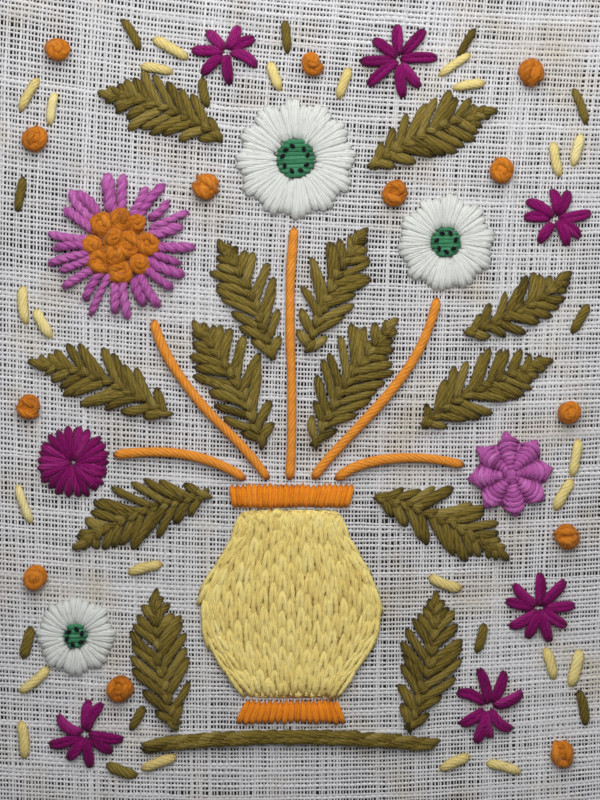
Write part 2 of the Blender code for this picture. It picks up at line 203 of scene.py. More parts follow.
WOOLS = {
    finish.wool: finish
    for finish in (
        WoolFinish(Wool.OLIVE, (42, 32, 6), (124, 106, 44), (164, 146, 86), 0.6, 0.34),
        WoolFinish(Wool.YELLOW, (200, 160, 78), (254, 232, 142), (255, 248, 196), 0.55, 0.28),
        WoolFinish(Wool.ORANGE, (140, 70, 8), (250, 147, 34), (254, 186, 84), 0.5, 0.26),
        WoolFinish(Wool.MAGENTA, (58, 2, 38), (134, 12, 97), (180, 66, 142), 0.5, 0.28),
        WoolFinish(Wool.PINK, (112, 38, 94), (192, 98, 174), (226, 154, 212), 0.5, 0.24),
        WoolFinish(Wool.WHITE, (184, 186, 181), (220, 222, 216), (232, 233, 228), 0.5, 0.2),
        WoolFinish(Wool.GREEN, (22, 68, 44), (68, 140, 99), (108, 172, 134), 0.5, 0.28),
    )
}
# A darker copy of the same orange wool for the knots: painted shade of their tight wraps.
SHADED_KNOT_ORANGE = WoolFinish(Wool.ORANGE, (122, 62, 8), (206, 122, 32), (240, 164, 72), 0.55, 0.2, 0.2, 4,
                            -0.1)
ROPED_PINK = WoolFinish(Wool.PINK, (106, 34, 88), (178, 86, 160), (218, 144, 204), 0.6, 0.24, 0.2, 5, 0.0)
TWISTED_ORANGE = WoolFinish(Wool.ORANGE, (136, 76, 22), (238, 150, 54), (246, 192, 108), 0.55, 0.26)
STREWN_YELLOW = WoolFinish(Wool.YELLOW, (176, 146, 80), (232, 212, 138), (244, 232, 182), 0.6, 0.24)
BLACK_STAMENS = WoolFinish(Wool.GREEN, (4, 4, 6), (20, 22, 28), (44, 46, 54))
WOOL_MATERIALS = {
    finish: finish.material()
    for finish in (*WOOLS.values(), SHADED_KNOT_ORANGE, TWISTED_ORANGE, ROPED_PINK, STREWN_YELLOW,
                   BLACK_STAMENS)
}


@dataclass(frozen=True)
class LinenFinish:
    """Natural linen thread: pale grey with warm lengths, matt, with fine fibres along it, and the painted
    shade seen through the gaps between threads.
    """

    pale: Colour = (210, 209, 210)
    warm: Colour = (200, 193, 181)
    # Painted shade: the dark colour seen through the gaps between threads.
    gap_shade: Colour = (32, 30, 29)
    roughness: float = 0.9
    fibre: float = 0.35

    def thread(self) -> Material:
        """Material of the woven threads, which reads their yarn and shade attributes."""
        graph = Graph("linen_thread", self.roughness, 0.2)
        span = {"Value": graph.noise(60.0, 3.0), "From Min": 0.5, "From Max": 0.72}
        tint = {"Factor": graph.add("MapRange", span), "A": linear(self.pale), "B": linear(self.warm)}
        fibre = graph.noise(1.5, 2.0, (7.0, 7.0, 1.2))
        weight = graph.math("MULTIPLY_ADD", fibre, self.fibre, graph.attribute("shade", "Fac"))
        weight = graph.math("SUBTRACT", weight, self.fibre / 2)
        colour = graph.mix({"Factor": 1.0, "A": graph.mix(tint), "B": weight}, "MULTIPLY")
        return graph.dress(colour, fibre, 0.4, 0.05)

    def core(self) -> Material:
        """Material of the sheet inside the weave: painted shade, seen as the dark of the gaps between
        threads.
        """
        graph = Graph("linen_gap_shade", 1.0, 0.0)
        painted_dark, pale = (linear(tuple(share * part for part in self.gap_shade)) for share in (0.7, 1.3))
        return graph.dress(graph.mix({"Factor": graph.noise(900.0, 2.0), "A": painted_dark, "B": pale}))


def mesh_object(name: str, points: Array, quads: Array, triangles: Array,
                attributes: dict[str, Array], flat: int = 0) -> Piece:
    """Put arrays of points and faces into a smooth mesh object at the origin.

    Args:
        name: Name of the object.
        points: Points in millimetres, one row each.
        quads: Point numbers of the four-sided faces.
        triangles: Point numbers of the three-sided faces.
        attributes: Attributes of the points by name, of one number each or of three.
        flat: How many of the first four-sided faces are shaded flat, apart from the others.

    Returns:
        The new object, linked to the scene.
    """
    mesh = bpy.data.meshes.new(name)
    mesh.vertices.add(len(points))
    mesh.vertices.foreach_set("co", np.ascontiguousarray(points * MM, dtype=np.float32).ravel())
    corners = np.concatenate([quads.ravel(), triangles.ravel()]).astype(np.int32)
    starts = np.concatenate([np.arange(len(quads)) * 4, len(quads) * 4 + np.arange(len(triangles)) * 3])
    mesh.loops.add(len(corners))
    mesh.loops.foreach_set("vertex_index", corners)
    mesh.polygons.add(len(starts))
    mesh.polygons.foreach_set("loop_start", starts.astype(np.int32))
    mesh.update(calc_edges=True)
    mesh.shade_smooth()
    if flat:
        mesh.polygons.foreach_set("use_smooth", np.arange(len(starts)) >= flat)
    for key, rows in attributes.items():
        kind, entry = ("FLOAT_VECTOR", "vector") if rows.ndim == 2 else ("FLOAT", "value")
        layer = mesh.attributes.new(key, kind, "POINT")
        layer.data.foreach_set(entry, np.ascontiguousarray(rows, dtype=np.float32).ravel())
    mesh.validate()
    piece = bpy.data.objects.new(name, mesh)
    bpy.context.scene.collection.objects.link(piece)
    return piece


def bells(here: Array, there: Array, reach: float) -> Array:
    """Bell weights of the places there about each place here, with squares that add up to one."""
    bell = np.exp(-0.5 * ((here[:, None] - there[None, :]) / reach) ** 2)
    return bell / np.sqrt((bell ** 2).sum(axis=1, keepdims=True))


def soft_noise(rng: np.random.Generator, rows: int, samples: int, reach: float) -> Array:
    """Rows of noise that varies slowly along each row, with a spread of about one.

    Each value is a bell-weighted sum of white noise within a few reaches of it.

    Args:
        rng: Source of the noise.
        rows: Number of rows.
        samples: Samples in a row.
        reach: Spread of the bell in samples.

    Returns:
        The noise, one row each.
    """
    margin = int(3 * reach)
    there = np.arange(-margin, samples + margin)
    return rng.standard_normal((rows, len(there))) @ bells(np.arange(samples), there, reach).T


def smooth(value: Array) -> Array:
    """Smooth step from zero at 0 to one at 1, level past both."""
    value = np.clip(value, 0, 1)
    return value * value * (3 - 2 * value)


def unit(vectors: Array, least: float = 0.0) -> Array:
    """Vectors of length one, where least is added to lengths that may be zero."""
    return vectors / (np.linalg.norm(vectors, axis=-1, keepdims=True) + least)


def left_of(vectors: Array) -> Array:
    """Plan vectors turned a quarter to the left."""
    return np.stack([-vectors[..., 1], vectors[..., 0]], axis=-1)


def turned(angle: Array) -> Array:
    """Unit plan vectors at the given angles."""
    return np.stack([np.cos(angle), np.sin(angle)], axis=-1)


def run_along(path: Array) -> Array:
    """Distance along each of many paths at its points."""
    return np.cumsum(np.linalg.norm(np.diff(path, axis=1, prepend=path[:, :1]), axis=-1), axis=1)


def cubic(points: tuple[Plan, ...], t: Array) -> Array:
    """Points of the cubic curve with four control points, at shares t."""
    a, b, c, d = (np.array(point, float) for point in points)
    t = t[:, None]
    return (1 - t) ** 3 * a + 3 * t * (1 - t) ** 2 * b + 3 * t * t * (1 - t) * c + t ** 3 * d


@dataclass
class Linen:
    """The cut length of plain-weave linen, as a thin dark core, painted shade seen through the gaps, and two
    sets of woven threads.

    Each of the rises is a soft place where the cloth stands off the table, by its middle, its
    reach in X and in Y, and its height. Pads are the discs of cloth that carry yarn behind.
    """

    width: float = 144.0
    length: float = 188.0
    warp_pitch: float = 0.685
    weft_pitch: float = 1.03
    warp_reach: int = 124
    weft_reach: int = 103
    warp_squeeze: float = -0.0005
    weft_squeeze: float = 0.00052
    lean: tuple[float, ...] = (0.02, 0.03, 0.015, 0.017)
    dip: tuple[float, ...] = (-2.6, 2.44, -3.6)
    warp_width: float = 0.54
    weft_width: float = 0.91
    thread_height: float = 0.18
    crown_share: float = 0.64
    crimp: float = 0.05
    view_half_width: float = 65.0
    view_half_length: float = 86.7
    middle_height: float = 0.35
    worked_rise: float = 0.45
    fade_past: float = 2.6
    fade_reach: float = 4.2
    core_half_thickness: float = 0.015
    core_drop: float = 0.03
    core_inset: float = 0.5
    core_columns: int = 119
    core_rows: int = 155
    # Painted light: thread edges are painted brighter, the weft's south edge most, against the shade on the
    # sides away from the lamp.
    warp_edge_light: Plan = (1.04, 1.04)
    weft_edge_light: Plan = (1.0, 1.2)
    edge_inset: float = 0.2
    fray: Plan = (-0.4, 1.2)
    seed: int = 11
    finish: LinenFinish = LinenFinish()
    rises: tuple[tuple[float, ...], ...] = (
        (-72, 94, 44, 40, 2.0), (72, -94, 48, 42, 1.6), (72, 18, 27, 46, 0.9), (-72, -34, 24, 40, 0.8),
        (24, 94, 44, 22, 0.9),
    )
    pads: list[Disc] = field(default_factory=list)

    def lift(self, x: Array, y: Array) -> Array:
        """Height of the underside: the sum of squared cosine bumps, zero where it lies flat."""
        total = np.zeros(np.broadcast(x, y).shape)
        for rise_x, rise_y, reach_x, reach_y, height in self.rises:
            distance = np.hypot((x - rise_x) / reach_x, (y - rise_y) / reach_y)
            total = total + height * np.cos(np.minimum(distance, 1) * math.pi / 2) ** 2
        return total

    def worked(self, x: Array, y: Array) -> Array:
        """Share from 0 to 1 by which yarn carried on the back raises the cloth.

        Each pad is one inside its radius and fades out past it, and overlapping pads join as
        one minus the product of what each leaves.
        """
        bare = np.ones(np.broadcast(x, y).shape)
        for pad_x, pad_y, radius in self.pads:
            inward = radius + self.fade_past - np.hypot(x - pad_x, y - pad_y)
            bare = bare * (1 - smooth(inward / self.fade_reach))
        return 1 - bare

    def middle(self, x: Array, y: Array) -> Array:
        """Height of the middle of the weave."""
        return self.lift(x, y) + self.middle_height + self.worked_rise * self.worked(x, y)

    def face(self, x: Array, y: Array) -> Array:
        """Height of the crowns of the threads, which the stitches lie on."""
        return self.middle(x, y) + self.crimp + 0.5 * self.thread_height

    def crossings(self) -> tuple[Array, Array]:
        """X and Y where each warp crosses each weft, as warps by wefts, with the drawn grain.

        The pitch grows or shrinks evenly across, by a square term. Rows dip by a slope, a bow
        and a skew in X and Y. Warps lean by a slope, a skew, a square and, upward, a cube.
        """
        warps = np.arange(-self.warp_reach, self.warp_reach + 1) * self.warp_pitch
        wefts = np.arange(-self.weft_reach, self.weft_reach + 1) * self.weft_pitch
        across = (warps + self.warp_squeeze * warps ** 2)[:, None]
        along = (wefts + self.weft_squeeze * wefts ** 2)[None, :]
        share_x = across / self.view_half_width
        share_y = along / self.view_half_length
        slope, skew, square, cube = self.lean
        lean = slope * share_y + skew * share_x * share_y + square * share_y ** 2
        lean = lean + cube * np.maximum(share_y, 0) ** 3
        slope, bow, skew = self.dip
        dip = slope * share_x + bow * share_x ** 2 + skew * share_x * share_y
        return across + self.view_half_length * lean, along + dip

    def threads(self, path: Array, width: Array, inside: Array, tone: Array, edge_light: Plan,
                name: str) -> Piece:
        """Sweep a three-sided section along each thread, with one ring at each crossing.

        A ring is the path's point, shifted half a width to each side and a little down for two
        of its corners, and up by two thirds of the thread's height for the third.

        Args:
            path: Points of the threads, as threads by crossings by three.
            width: Width at each crossing.
            inside: Whether each crossing lies on the panel.
            tone: Brightness at each crossing, about one.
            edge_light: Brightness of the left and the right edge of a thread against its crown, painted light
                that offsets the shade on its sides.
            name: Name of the piece.

        Returns:
            The piece that holds all the threads.
        """
        side = left_of(unit(np.gradient(path[..., :2], axis=1)))
        side = np.concatenate([side * (width / 2)[..., None], np.zeros((*width.shape, 1))], axis=-1)
        up = np.array([0.0, 0.0, self.thread_height])
        low = (1 - self.crown_share) * up
        rings = np.stack([path + side - low, path - side - low, path + self.crown_share * up], axis=2)
        number = np.cumsum(inside.ravel()).reshape(inside.shape) - 1
        here = 3 * number[:, :-1][inside[:, :-1] & inside[:, 1:]]
        quads = [np.stack([here + one, here + two, here + two + 3, here + one + 3], axis=1)
                 for one, two in ((0, 1), (1, 2), (2, 0))]
        before = np.pad(inside[:, :-1], ((0, 0), (1, 0)))
        after = np.pad(inside[:, 1:], ((0, 0), (0, 1)))
        triangles = [3 * number[inside & ~beside][:, None] + np.array(order)
                     for beside, order in ((before, (0, 2, 1)), (after, (0, 1, 2)))]
        row = np.arange(len(path))[:, None]
        distance = run_along(path) + 11 * 3.7 * row
        yarn = np.stack([np.stack([3.7 * row + offset * width, 0 * width, distance], axis=-1)
                         for offset in (0.5, -0.5, 0.0)], axis=2)
        # Painted light: the edges are brightened against the crown to offset their shade.
        shade = tone[..., None] * np.array([*edge_light, 1.0])
        return mesh_object(name, rings[inside].reshape(-1, 3), np.concatenate(quads),
                           np.concatenate(triangles),
                           {"yarn": yarn[inside].reshape(-1, 3), "shade": shade[inside].ravel()}, len(here))

    def thread_widths(self, rng: np.random.Generator, rows: int, samples: int, usual: float,
                      reach: float) -> Array:
        """Widths that vary from thread to thread, in groups of threads and along a thread.

        Args:
            rng: Source of the unevenness.
            rows: Number of threads.
            samples: Crossings on a thread.
            usual: Usual width.
            reach: Crossings over which the width changes.

        Returns:
            A width for each crossing.
        """
        thread = 1 + 0.14 * rng.standard_normal((rows, 1)) + 0.07 * soft_noise(rng, 1, rows, 2).T
        along = 0.12 * soft_noise(rng, rows, samples, reach)
        slub = 0.6 * np.clip(soft_noise(rng, rows, samples, reach / 2) - 1.8, 0, 1)
        return usual * np.clip(thread + along + slub, 0.7, 1.75)

    def build(self) -> list[Piece]:
        """Build the core sheet and the four sets of threads."""
        rng = np.random.default_rng(self.seed)
        x, y = self.crossings()
        warps, wefts = x.shape
        over = 1 - 2.0 * ((np.arange(warps)[:, None] + np.arange(wefts)[None, :]) % 2)

        def stray(rows: int, samples: int, slow: Plan, own: float, quick: Plan) -> Array:
            """Slow noise along each thread, an offset of its own and quick noise."""
            noise = slow[0] * soft_noise(rng, rows, samples, slow[1]) + own * rng.standard_normal((rows, 1))
            return noise + quick[0] * soft_noise(rng, rows, samples, quick[1])

        def tone(rows: int, samples: int, usual: float, reach: float) -> Array:
            """Brightness that varies from thread to thread and slowly along a thread."""
            own = usual + 0.05 * rng.standard_normal((rows, 1))
            return own + 0.04 * soft_noise(rng, rows, samples, reach)

        x = x + stray(warps, wefts, (0.05, 7), 0.045, (0.045, 1.5))
        y = y + stray(wefts, warps, (0.07, 10), 0.05, (0.05, 1.8)).T
        middle = self.middle(x, y)
        warp_path = np.stack([x, y, middle - self.crimp * over], axis=-1)
        weft_path = np.stack([x, y, middle + self.crimp * over], axis=-1).transpose(1, 0, 2)
        here = np.arange(warps)
        open_weave = bells(here, here, 12) @ soft_noise(rng, warps, wefts, 10)
        patch = 1 + 0.07 * open_weave + 0.02 * y / self.view_half_length
        warp_width = self.thread_widths(rng, warps, wefts, self.warp_width, 8) * patch
        weft_width = self.thread_widths(rng, wefts, warps, self.weft_width, 14) * patch.T
        # Warps are painted brighter than wefts of the same linen, painted light against the shade the wefts
        # cast on them; the rest is tone from thread to thread.
        warp_tone_and_light = tone(warps, wefts, 1.07, 9)
        weft_tone_and_light = tone(wefts, warps, 0.97, 12)
        half_width = self.width / 2
        half_length = self.length / 2
        warp_end = half_length + rng.uniform(*self.fray, (warps, 1))
        weft_end = half_width + rng.uniform(*self.fray, (wefts, 1))
        warp_in = (np.abs(y) < warp_end) & (np.abs(x) < half_width - self.edge_inset)
        weft_in = ((np.abs(x) < weft_end.T) & (np.abs(y) < half_length - self.edge_inset)).T
        pieces = [self.core()]
        finish = self.finish.thread()
        for values, edge_light, names in (
                ((warp_path, warp_width, warp_in, warp_tone_and_light), self.warp_edge_light, ("warp_left", "warp_right")),
                ((weft_path, weft_width, weft_in, weft_tone_and_light), self.weft_edge_light, ("weft_lower", "weft_upper"))):
            half = len(values[0]) // 2
            for name, part in zip(names, (slice(None, half), slice(half, None))):
                piece = self.threads(*(value[part] for value in values), edge_light, name)
                piece.data.materials.append(finish)
                pieces.append(piece)
        return pieces

    def core(self) -> Piece:
        """A closed thin dark sheet on the weave's middle, painted shade for the gaps: two grids of points and
        a wall between.
        """
        x, y = np.meshgrid(np.linspace(-1, 1, self.core_columns) * (self.width / 2 - self.core_inset),
                           np.linspace(-1, 1, self.core_rows) * (self.length / 2 - self.core_inset))
        middle = self.middle(x, y) - self.core_drop
        faces = [np.stack([x, y, middle + side * self.core_half_thickness], axis=-1).reshape(-1, 3)
                 for side in (1, -1)]
        count = x.size
        number = np.arange(count).reshape(x.shape)
        cell = np.stack([number[:-1, :-1], number[:-1, 1:], number[1:, 1:], number[1:, :-1]], axis=-1)
        cell = cell.reshape(-1, 4)
        rim = np.concatenate([number[0], number[1:, -1], number[-1, -2::-1], number[-2:0:-1, 0]])
        beside = np.roll(rim, -1)
        wall = np.stack([rim, rim + count, beside + count, beside], axis=1)
        quads = np.concatenate([cell, cell[:, ::-1] + count, wall])
        piece = mesh_object("linen_shade_core", np.concatenate(faces), quads, np.zeros((0, 3), int), {})
        piece.data.materials.append(self.finish.core())
        return piece


@dataclass
class YarnBundle:
    """Lengths of wool that make one worked shape, gathered and then written as one mesh."""

    name: str
    finish: WoolFinish
    cloth: Linen
    seed: int
    apart: float = 23.7
    under_shade: float = 0.12
    unevenness: float = 0.035
    end_shade_reach: float = 0.9
    ply_shift: float = 0.17
    ply_half: float = 0.37
    skins: list[tuple[Array, Array]] = field(default_factory=list)
    count: int = 0
    strands: int = 0

    def __post_init__(self) -> None:
        """Start the bundle's own random source and its lists of arrays."""
        self.rng: np.random.Generator = np.random.default_rng(self.seed)
        self.parts: dict[str, list[Array]] = {key: [] for key in PART_KEYS}

    def vary(self, spread: float, shape: int | tuple[int, ...]) -> Array:
        """Random offsets, spread about zero in a bell."""
        return spread * self.rng.standard_normal(shape)

    def lay(self, path: Array, half_width: Array, half_height: Array, shade: Array,
            sides: int = 8, twist: float = 0.05, furry: bool = True) -> None:
        """Sweep a flattened round section along many paths at once.

        A point is the path's point plus half_width times the cosine of an angle sideways, and
        half_height times its sine along the normal. The angle is the column's own plus a turn
        that grows with the distance along, so that the columns run along the twist. Nothing goes
        below the table, which lies at zero.

        Args:
            path: Points in millimetres, as strands by rings by three.
            half_width: Half width at each ring.
            half_height: Half height at each ring.
            shade: Place on the finish's ramp at each ring, about one half.
            sides: Columns round the section.
            twist: Turns for each millimetre.
            furry: Whether hairs may grow on these strands.
        """
        strands, rings = path.shape[:2]
        ahead = unit(np.gradient(path, axis=1), 1e-9)
        side = unit(np.cross(np.array([0.0, 0.0, 1.0]), ahead), 1e-9)
        normal = np.cross(ahead, side)
        distance = run_along(path)
        column = np.arange(sides) * TURN / sides
        start = self.rng.uniform(0, TURN, (strands, 1, 1))
        angle = column + start + TURN * twist * distance[..., None]
        outward = side[:, :, None] * (half_width[..., None] * np.cos(angle))[..., None]
        outward = outward + normal[:, :, None] * (half_height[..., None] * np.sin(angle))[..., None]
        skin = path[:, :, None] + outward
        skin[..., 2] = np.maximum(skin[..., 2], 0.0)
        body = (np.arange(strands)[:, None, None] * rings + np.arange(rings - 1)[None, :, None]) * sides
        first = body + np.arange(sides)
        second = body + (np.arange(sides) + 1) % sides
        quads = np.stack([first, second, second + sides, first + sides], axis=-1).reshape(-1, 4)
        low = np.arange(strands)[:, None, None] * rings * sides
        fan = np.arange(1, sides - 1)[:, None] * (0, 1, 1)
        caps = np.concatenate([(low + fan + (0, 1, 0)).reshape(-1, 3),
                               (low + (rings - 1) * sides + fan + (0, 0, 1)).reshape(-1, 3)])
        along = distance[..., None] + (self.strands + np.arange(strands))[:, None, None] * self.apart
        yarn = np.stack(np.broadcast_arrays(np.cos(column), np.sin(column), along), axis=-1)
        # Painted shade: the underside of the strand is darker.
        tint = shade[..., None] - self.under_shade * (np.sin(angle) < -0.1)
        grown = (skin.reshape(-1, 3), quads + self.count, caps + self.count, yarn.reshape(-1, 3),
                 tint.ravel())
        for key, rows in zip(PART_KEYS, grown):
            self.parts[key].append(rows)
        self.count += strands * rings * sides
        self.strands += strands
        if furry:
            top = np.sin(angle) > 0.1
            self.skins.append((skin[top], outward[top]))

    def stitch(self, start: Array, end: Array, width: Array | float, height: Array | float,
               base: Array | float = 0.0, bow: Array | float = 0.0, belly: float = 0.0,
               rings: int = 8, tone: float = 0.07, end_shades: Plan = (1.0, 1.0), fan: float = 0.0,
               drop: float = 0.35, blunt: float = 0.75, plies: int = 1, wind: float = 0.0,
               **section: float) -> None:
        """Lay straight stitches that come up at one hole and go down at another.

        With s from 0 to 1 along a stitch, it lies at its height times one minus the distance
        from the middle to a power that grows with the length, so that it drops quickly at both
        ends. Its width falls off in the same way, and belly moves the widest place along.

        Args:
            start: Plan places of the first holes, one row each.
            end: Plan places of the second holes.
            width: Full width of the yarn.
            height: Full height of the yarn above the cloth.
            base: Height that it is carried above the cloth by what lies below it.
            bow: Sideways bow at its middle.
            belly: From -1 to 1, where the stitch is widest.
            rings: Rings along a stitch.
            tone: Spread of the shade from stitch to stitch.
            end_shades: How dark the start and the end of a stitch go, from 0 to 1, as painted shade where the
                yarn dives into its hole.
            fan: Share by which the width is less at the start than at the end.
            drop: Depth below the crowns of the threads at which a stitch ends.
            blunt: How full the ends are, for each millimetre of length.
            plies: Strands that wind round each other to make the stitch.
            wind: Turns of the plies round each other for each millimetre.
            section: The sides, twist and furry of lay, where they aren't the usual ones.
        """
        count = len(start)

        def row(value: Array | float) -> Array:
            """A column with one value for each stitch."""
            return np.broadcast_to(value, (count,))[:, None]

        even = np.linspace(0, 1, rings)
        s = 0.25 * even + 0.75 * (0.5 - 0.5 * np.cos(math.pi * even))
        chord = end - start
        length = np.linalg.norm(chord, axis=1)[:, None]
        across = (left_of(chord) / length)[:, None]
        plan = start[:, None] + chord[:, None] * s[None, :, None]
        plan = plan + across * (4 * s * (1 - s) * row(bow))[..., None]
        power = np.clip(blunt * length, 2, 9)
        arch = 1 - np.abs(2 * s - 1) ** (power + 0.5)
        full = 0.46 + 0.54 * (1 - np.abs(2 * s ** (1 + belly) - 1) ** power)
        full = full * (1 - fan * (1 - s))
        width = row(width) * full * (1 + self.vary(self.unevenness, (count, rings)))
        height = row(height) * (0.55 + 0.45 * full)
        floor = self.cloth.face(plan[..., 0], plan[..., 1])
        z = floor + arch * (row(base) + 0.46 * height) - (1 - arch) * drop
        path = np.concatenate([plan, z[..., None]], axis=-1)
        from_start = s * length
        # Painted shade: the yarn darkens near each end, where it dives into its hole.
        painted_dark = sum(dip * np.clip(1 - away / self.end_shade_reach, 0, 1)
                   for dip, away in zip(end_shades, (from_start, (1 - s) * length)))
        shade = 0.5 + self.vary(tone, (count, 1)) - 0.4 * painted_dark
        if plies == 1:
            self.lay(path, width / 2, height / 2, shade, **section)
            return
        phase = self.rng.random((count, 1)) + wind * self.rng.uniform(0.8, 1.2, (count, 1)) * from_start
        for ply in range(plies):
            angle = TURN * (phase + ply / plies)
            sideways = across * (self.ply_shift * width * np.cos(angle))[..., None]
            upward = self.ply_shift * height * np.sin(angle)
            wound = path + np.concatenate([sideways, upward[..., None]], axis=-1)
            # Painted light and shade: a ply is lighter where it winds over the top and darker where it winds
            # under.
            tint = shade + 0.1 * np.sin(angle)
            self.lay(wound, self.ply_half * width, self.ply_half * height, tint, **section)

    def hairs(self, number: int, reach: float = 1.15, thick: float = 0.038) -> None:
        """Grow fine loose fibres from the upper skins of the strands.

        A hair leaves along the outward direction and bends over by a random plan vector, as a
        curve of second degree.

        Args:
            number: Number of hairs.
            reach: Usual length of a hair.
            thick: Half width of a hair at its root.
        """
        if not self.skins or number < 1:
            return
        roots, outward = (np.concatenate(rows) for rows in zip(*self.skins))
        pick = self.rng.integers(0, len(roots), number)
        away = unit(outward[pick], 1e-9)[:, None]
        length = reach * self.rng.uniform(0.4, 1.5, (number, 1, 1))
        lean = (self.rng.standard_normal((number, 3)) * np.array([1.0, 1.0, 0.25]))[:, None]
        t = np.linspace(0, 1, 3)[None, :, None]
        path = roots[pick][:, None] + length * (0.55 * away * t * (1 - 0.45 * t) + 0.5 * lean * t * t)
        thin = np.broadcast_to(thick * (1 - 0.6 * t[..., 0]), (number, 3))
        shade = np.broadcast_to(0.70 + self.vary(0.1, (number, 1)), (number, 3))
        self.lay(path, thin, thin, shade, sides=3, twist=0.0, furry=False)
        self.parts["yarn"][-1][:, :2] = (1, 0)

    def build(self, hair_density: float = 0.0) -> Piece:
        """Write the bundle as one piece, with so many hairs for each strand."""
        self.hairs(int(hair_density * self.strands))
        points, quads, triangles, yarn, shade = (np.concatenate(rows) for rows in self.parts.values())
        piece = mesh_object(self.name, points, quads, triangles, {"yarn": yarn, "shade": shade})
        piece.data.materials.append(WOOL_MATERIALS[self.finish])
        return piece


@dataclass
class Worked:
    """A worked shape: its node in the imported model, its seed and its wool."""

    special: ClassVar[WoolFinish | None] = None
    node: str
    seed: int
    wool: Wool = Wool.OLIVE
    hair_density: float = 5.0

    def pads(self) -> list[Disc]:
        """Discs of cloth that carry yarn on the back, as X, Y and radius."""
        return []

    def work(self, cloth: Linen) -> list[Piece]:
        """Stitch the shape in its wool's usual or special finish, and return its pieces."""
        bundle = YarnBundle(self.node + "_wool", self.special or WOOLS[self.wool], cloth, self.seed)
        self.stitch_on(bundle)
        return [bundle.build(self.hair_density)]

    def stitch_on(self, bundle: YarnBundle) -> None:
        """Lay the stitches of the shape into its bundle."""


@dataclass
class Leaf(Worked):
    """A leaf of fly stitch: slanted arms that meet on a vein of short tying stitches."""

    base: Plan = (0.0, 0.0)
    tip: Plan = (0.0, 30.0)
    width: float = 12.5
    bend: float = 0.1
    arm_spacing: float = 2.5
    arm_slant: float = 1.1
    arm_width: float = 2.12
    arm_height: float = 1.35

    def vein(self, u: Array) -> tuple[Array, Array]:
        """Points and left-hand normals of the vein, a curve of second degree, at shares u."""
        base = np.array(self.base)
        tip = np.array(self.tip)
        middle = (base + tip) / 2 + left_of(tip - base) * self.bend
        u = u[:, None]
        point = (1 - u) ** 2 * base + 2 * u * (1 - u) * middle + u * u * tip
        return point, left_of(unit((1 - u) * (middle - base) + u * (tip - middle)))

    def half_width(self, share: Array) -> Array:
        """Half width along the leaf: a sine belly on a narrow base, drawn in at the tip."""
        belly = 0.35 + 0.65 * np.sin(math.pi * (share / 0.9) ** 0.8)
        return self.width / 2 * belly * np.clip((1 - share) / 0.55, 0, 1) ** 0.35

    def pads(self) -> list[Disc]:
        """Discs along the vein."""
        share = np.linspace(0.08, 0.92, 6)
        reach = 0.75 * self.half_width(share * 0.95)
        return [(*place, radius) for place, radius in zip(self.vein(share)[0].tolist(), reach)]

    def stitch_on(self, bundle: YarnBundle) -> None:
        """Arms from each edge that cross at the vein, then short slanted ties along the vein."""
        rng = bundle.rng
        vary = bundle.vary
        length = float(np.hypot(self.tip[0] - self.base[0], self.tip[1] - self.base[1]))
        arms = round(0.87 * length / self.arm_spacing)
        share = np.linspace(0.03, 0.88, arms)
        half = self.half_width(share)
        root, vein_side = self.vein(share)
        for sign in (1.0, -1.0):
            reach = half * (1 + vary(0.08, arms))
            outer = share + (self.arm_slant + vary(0.14, arms)) * half / length
            edge, side = self.vein(np.minimum(outer, 1.0))
            tip = edge + sign * side * reach[:, None]
            cross = rng.uniform(0.2, 1.1, (arms, 1))
            inner = root - cross * (sign * vein_side - 0.8 * left_of(vein_side)) + vary(0.15, (arms, 2))
            bundle.stitch(tip, inner, self.arm_width * (1 + vary(0.09, arms)), self.arm_height,
                          base=0.3 * rng.random(arms), bow=vary(0.28, arms), belly=-0.12, tone=0.1,
                          end_shades=(1.2, 0.4), blunt=0.5)
        head, neck = (self.vein(np.array(places))[0] for places in ((1.0, 0.93), (0.80, 0.72)))
        bundle.stitch(head, neck, self.arm_width * 0.95, self.arm_height, base=0.25,
                      bow=np.array([-0.3, 0.4]), end_shades=(1.1, 0.2))
        for sign in (1.0, -1.0):
            place = np.clip(share + vary(0.25, arms) / length, 0, 1)
            middle, side = self.vein(place)
            lean = sign * side * rng.uniform(0.4, 0.75, (arms, 1)) - left_of(side)
            lean = lean * rng.uniform(1.2, 1.7, (arms, 1))
            middle = middle + (sign * side * 0.25 + vary(0.15, (arms, 2)))
            bundle.stitch(middle + lean, middle - lean * 0.9, self.arm_width * 0.72, 1.1,
                          base=0.6 + 0.25 * rng.random(arms), tone=0.1, end_shades=(0.6, 0.9))


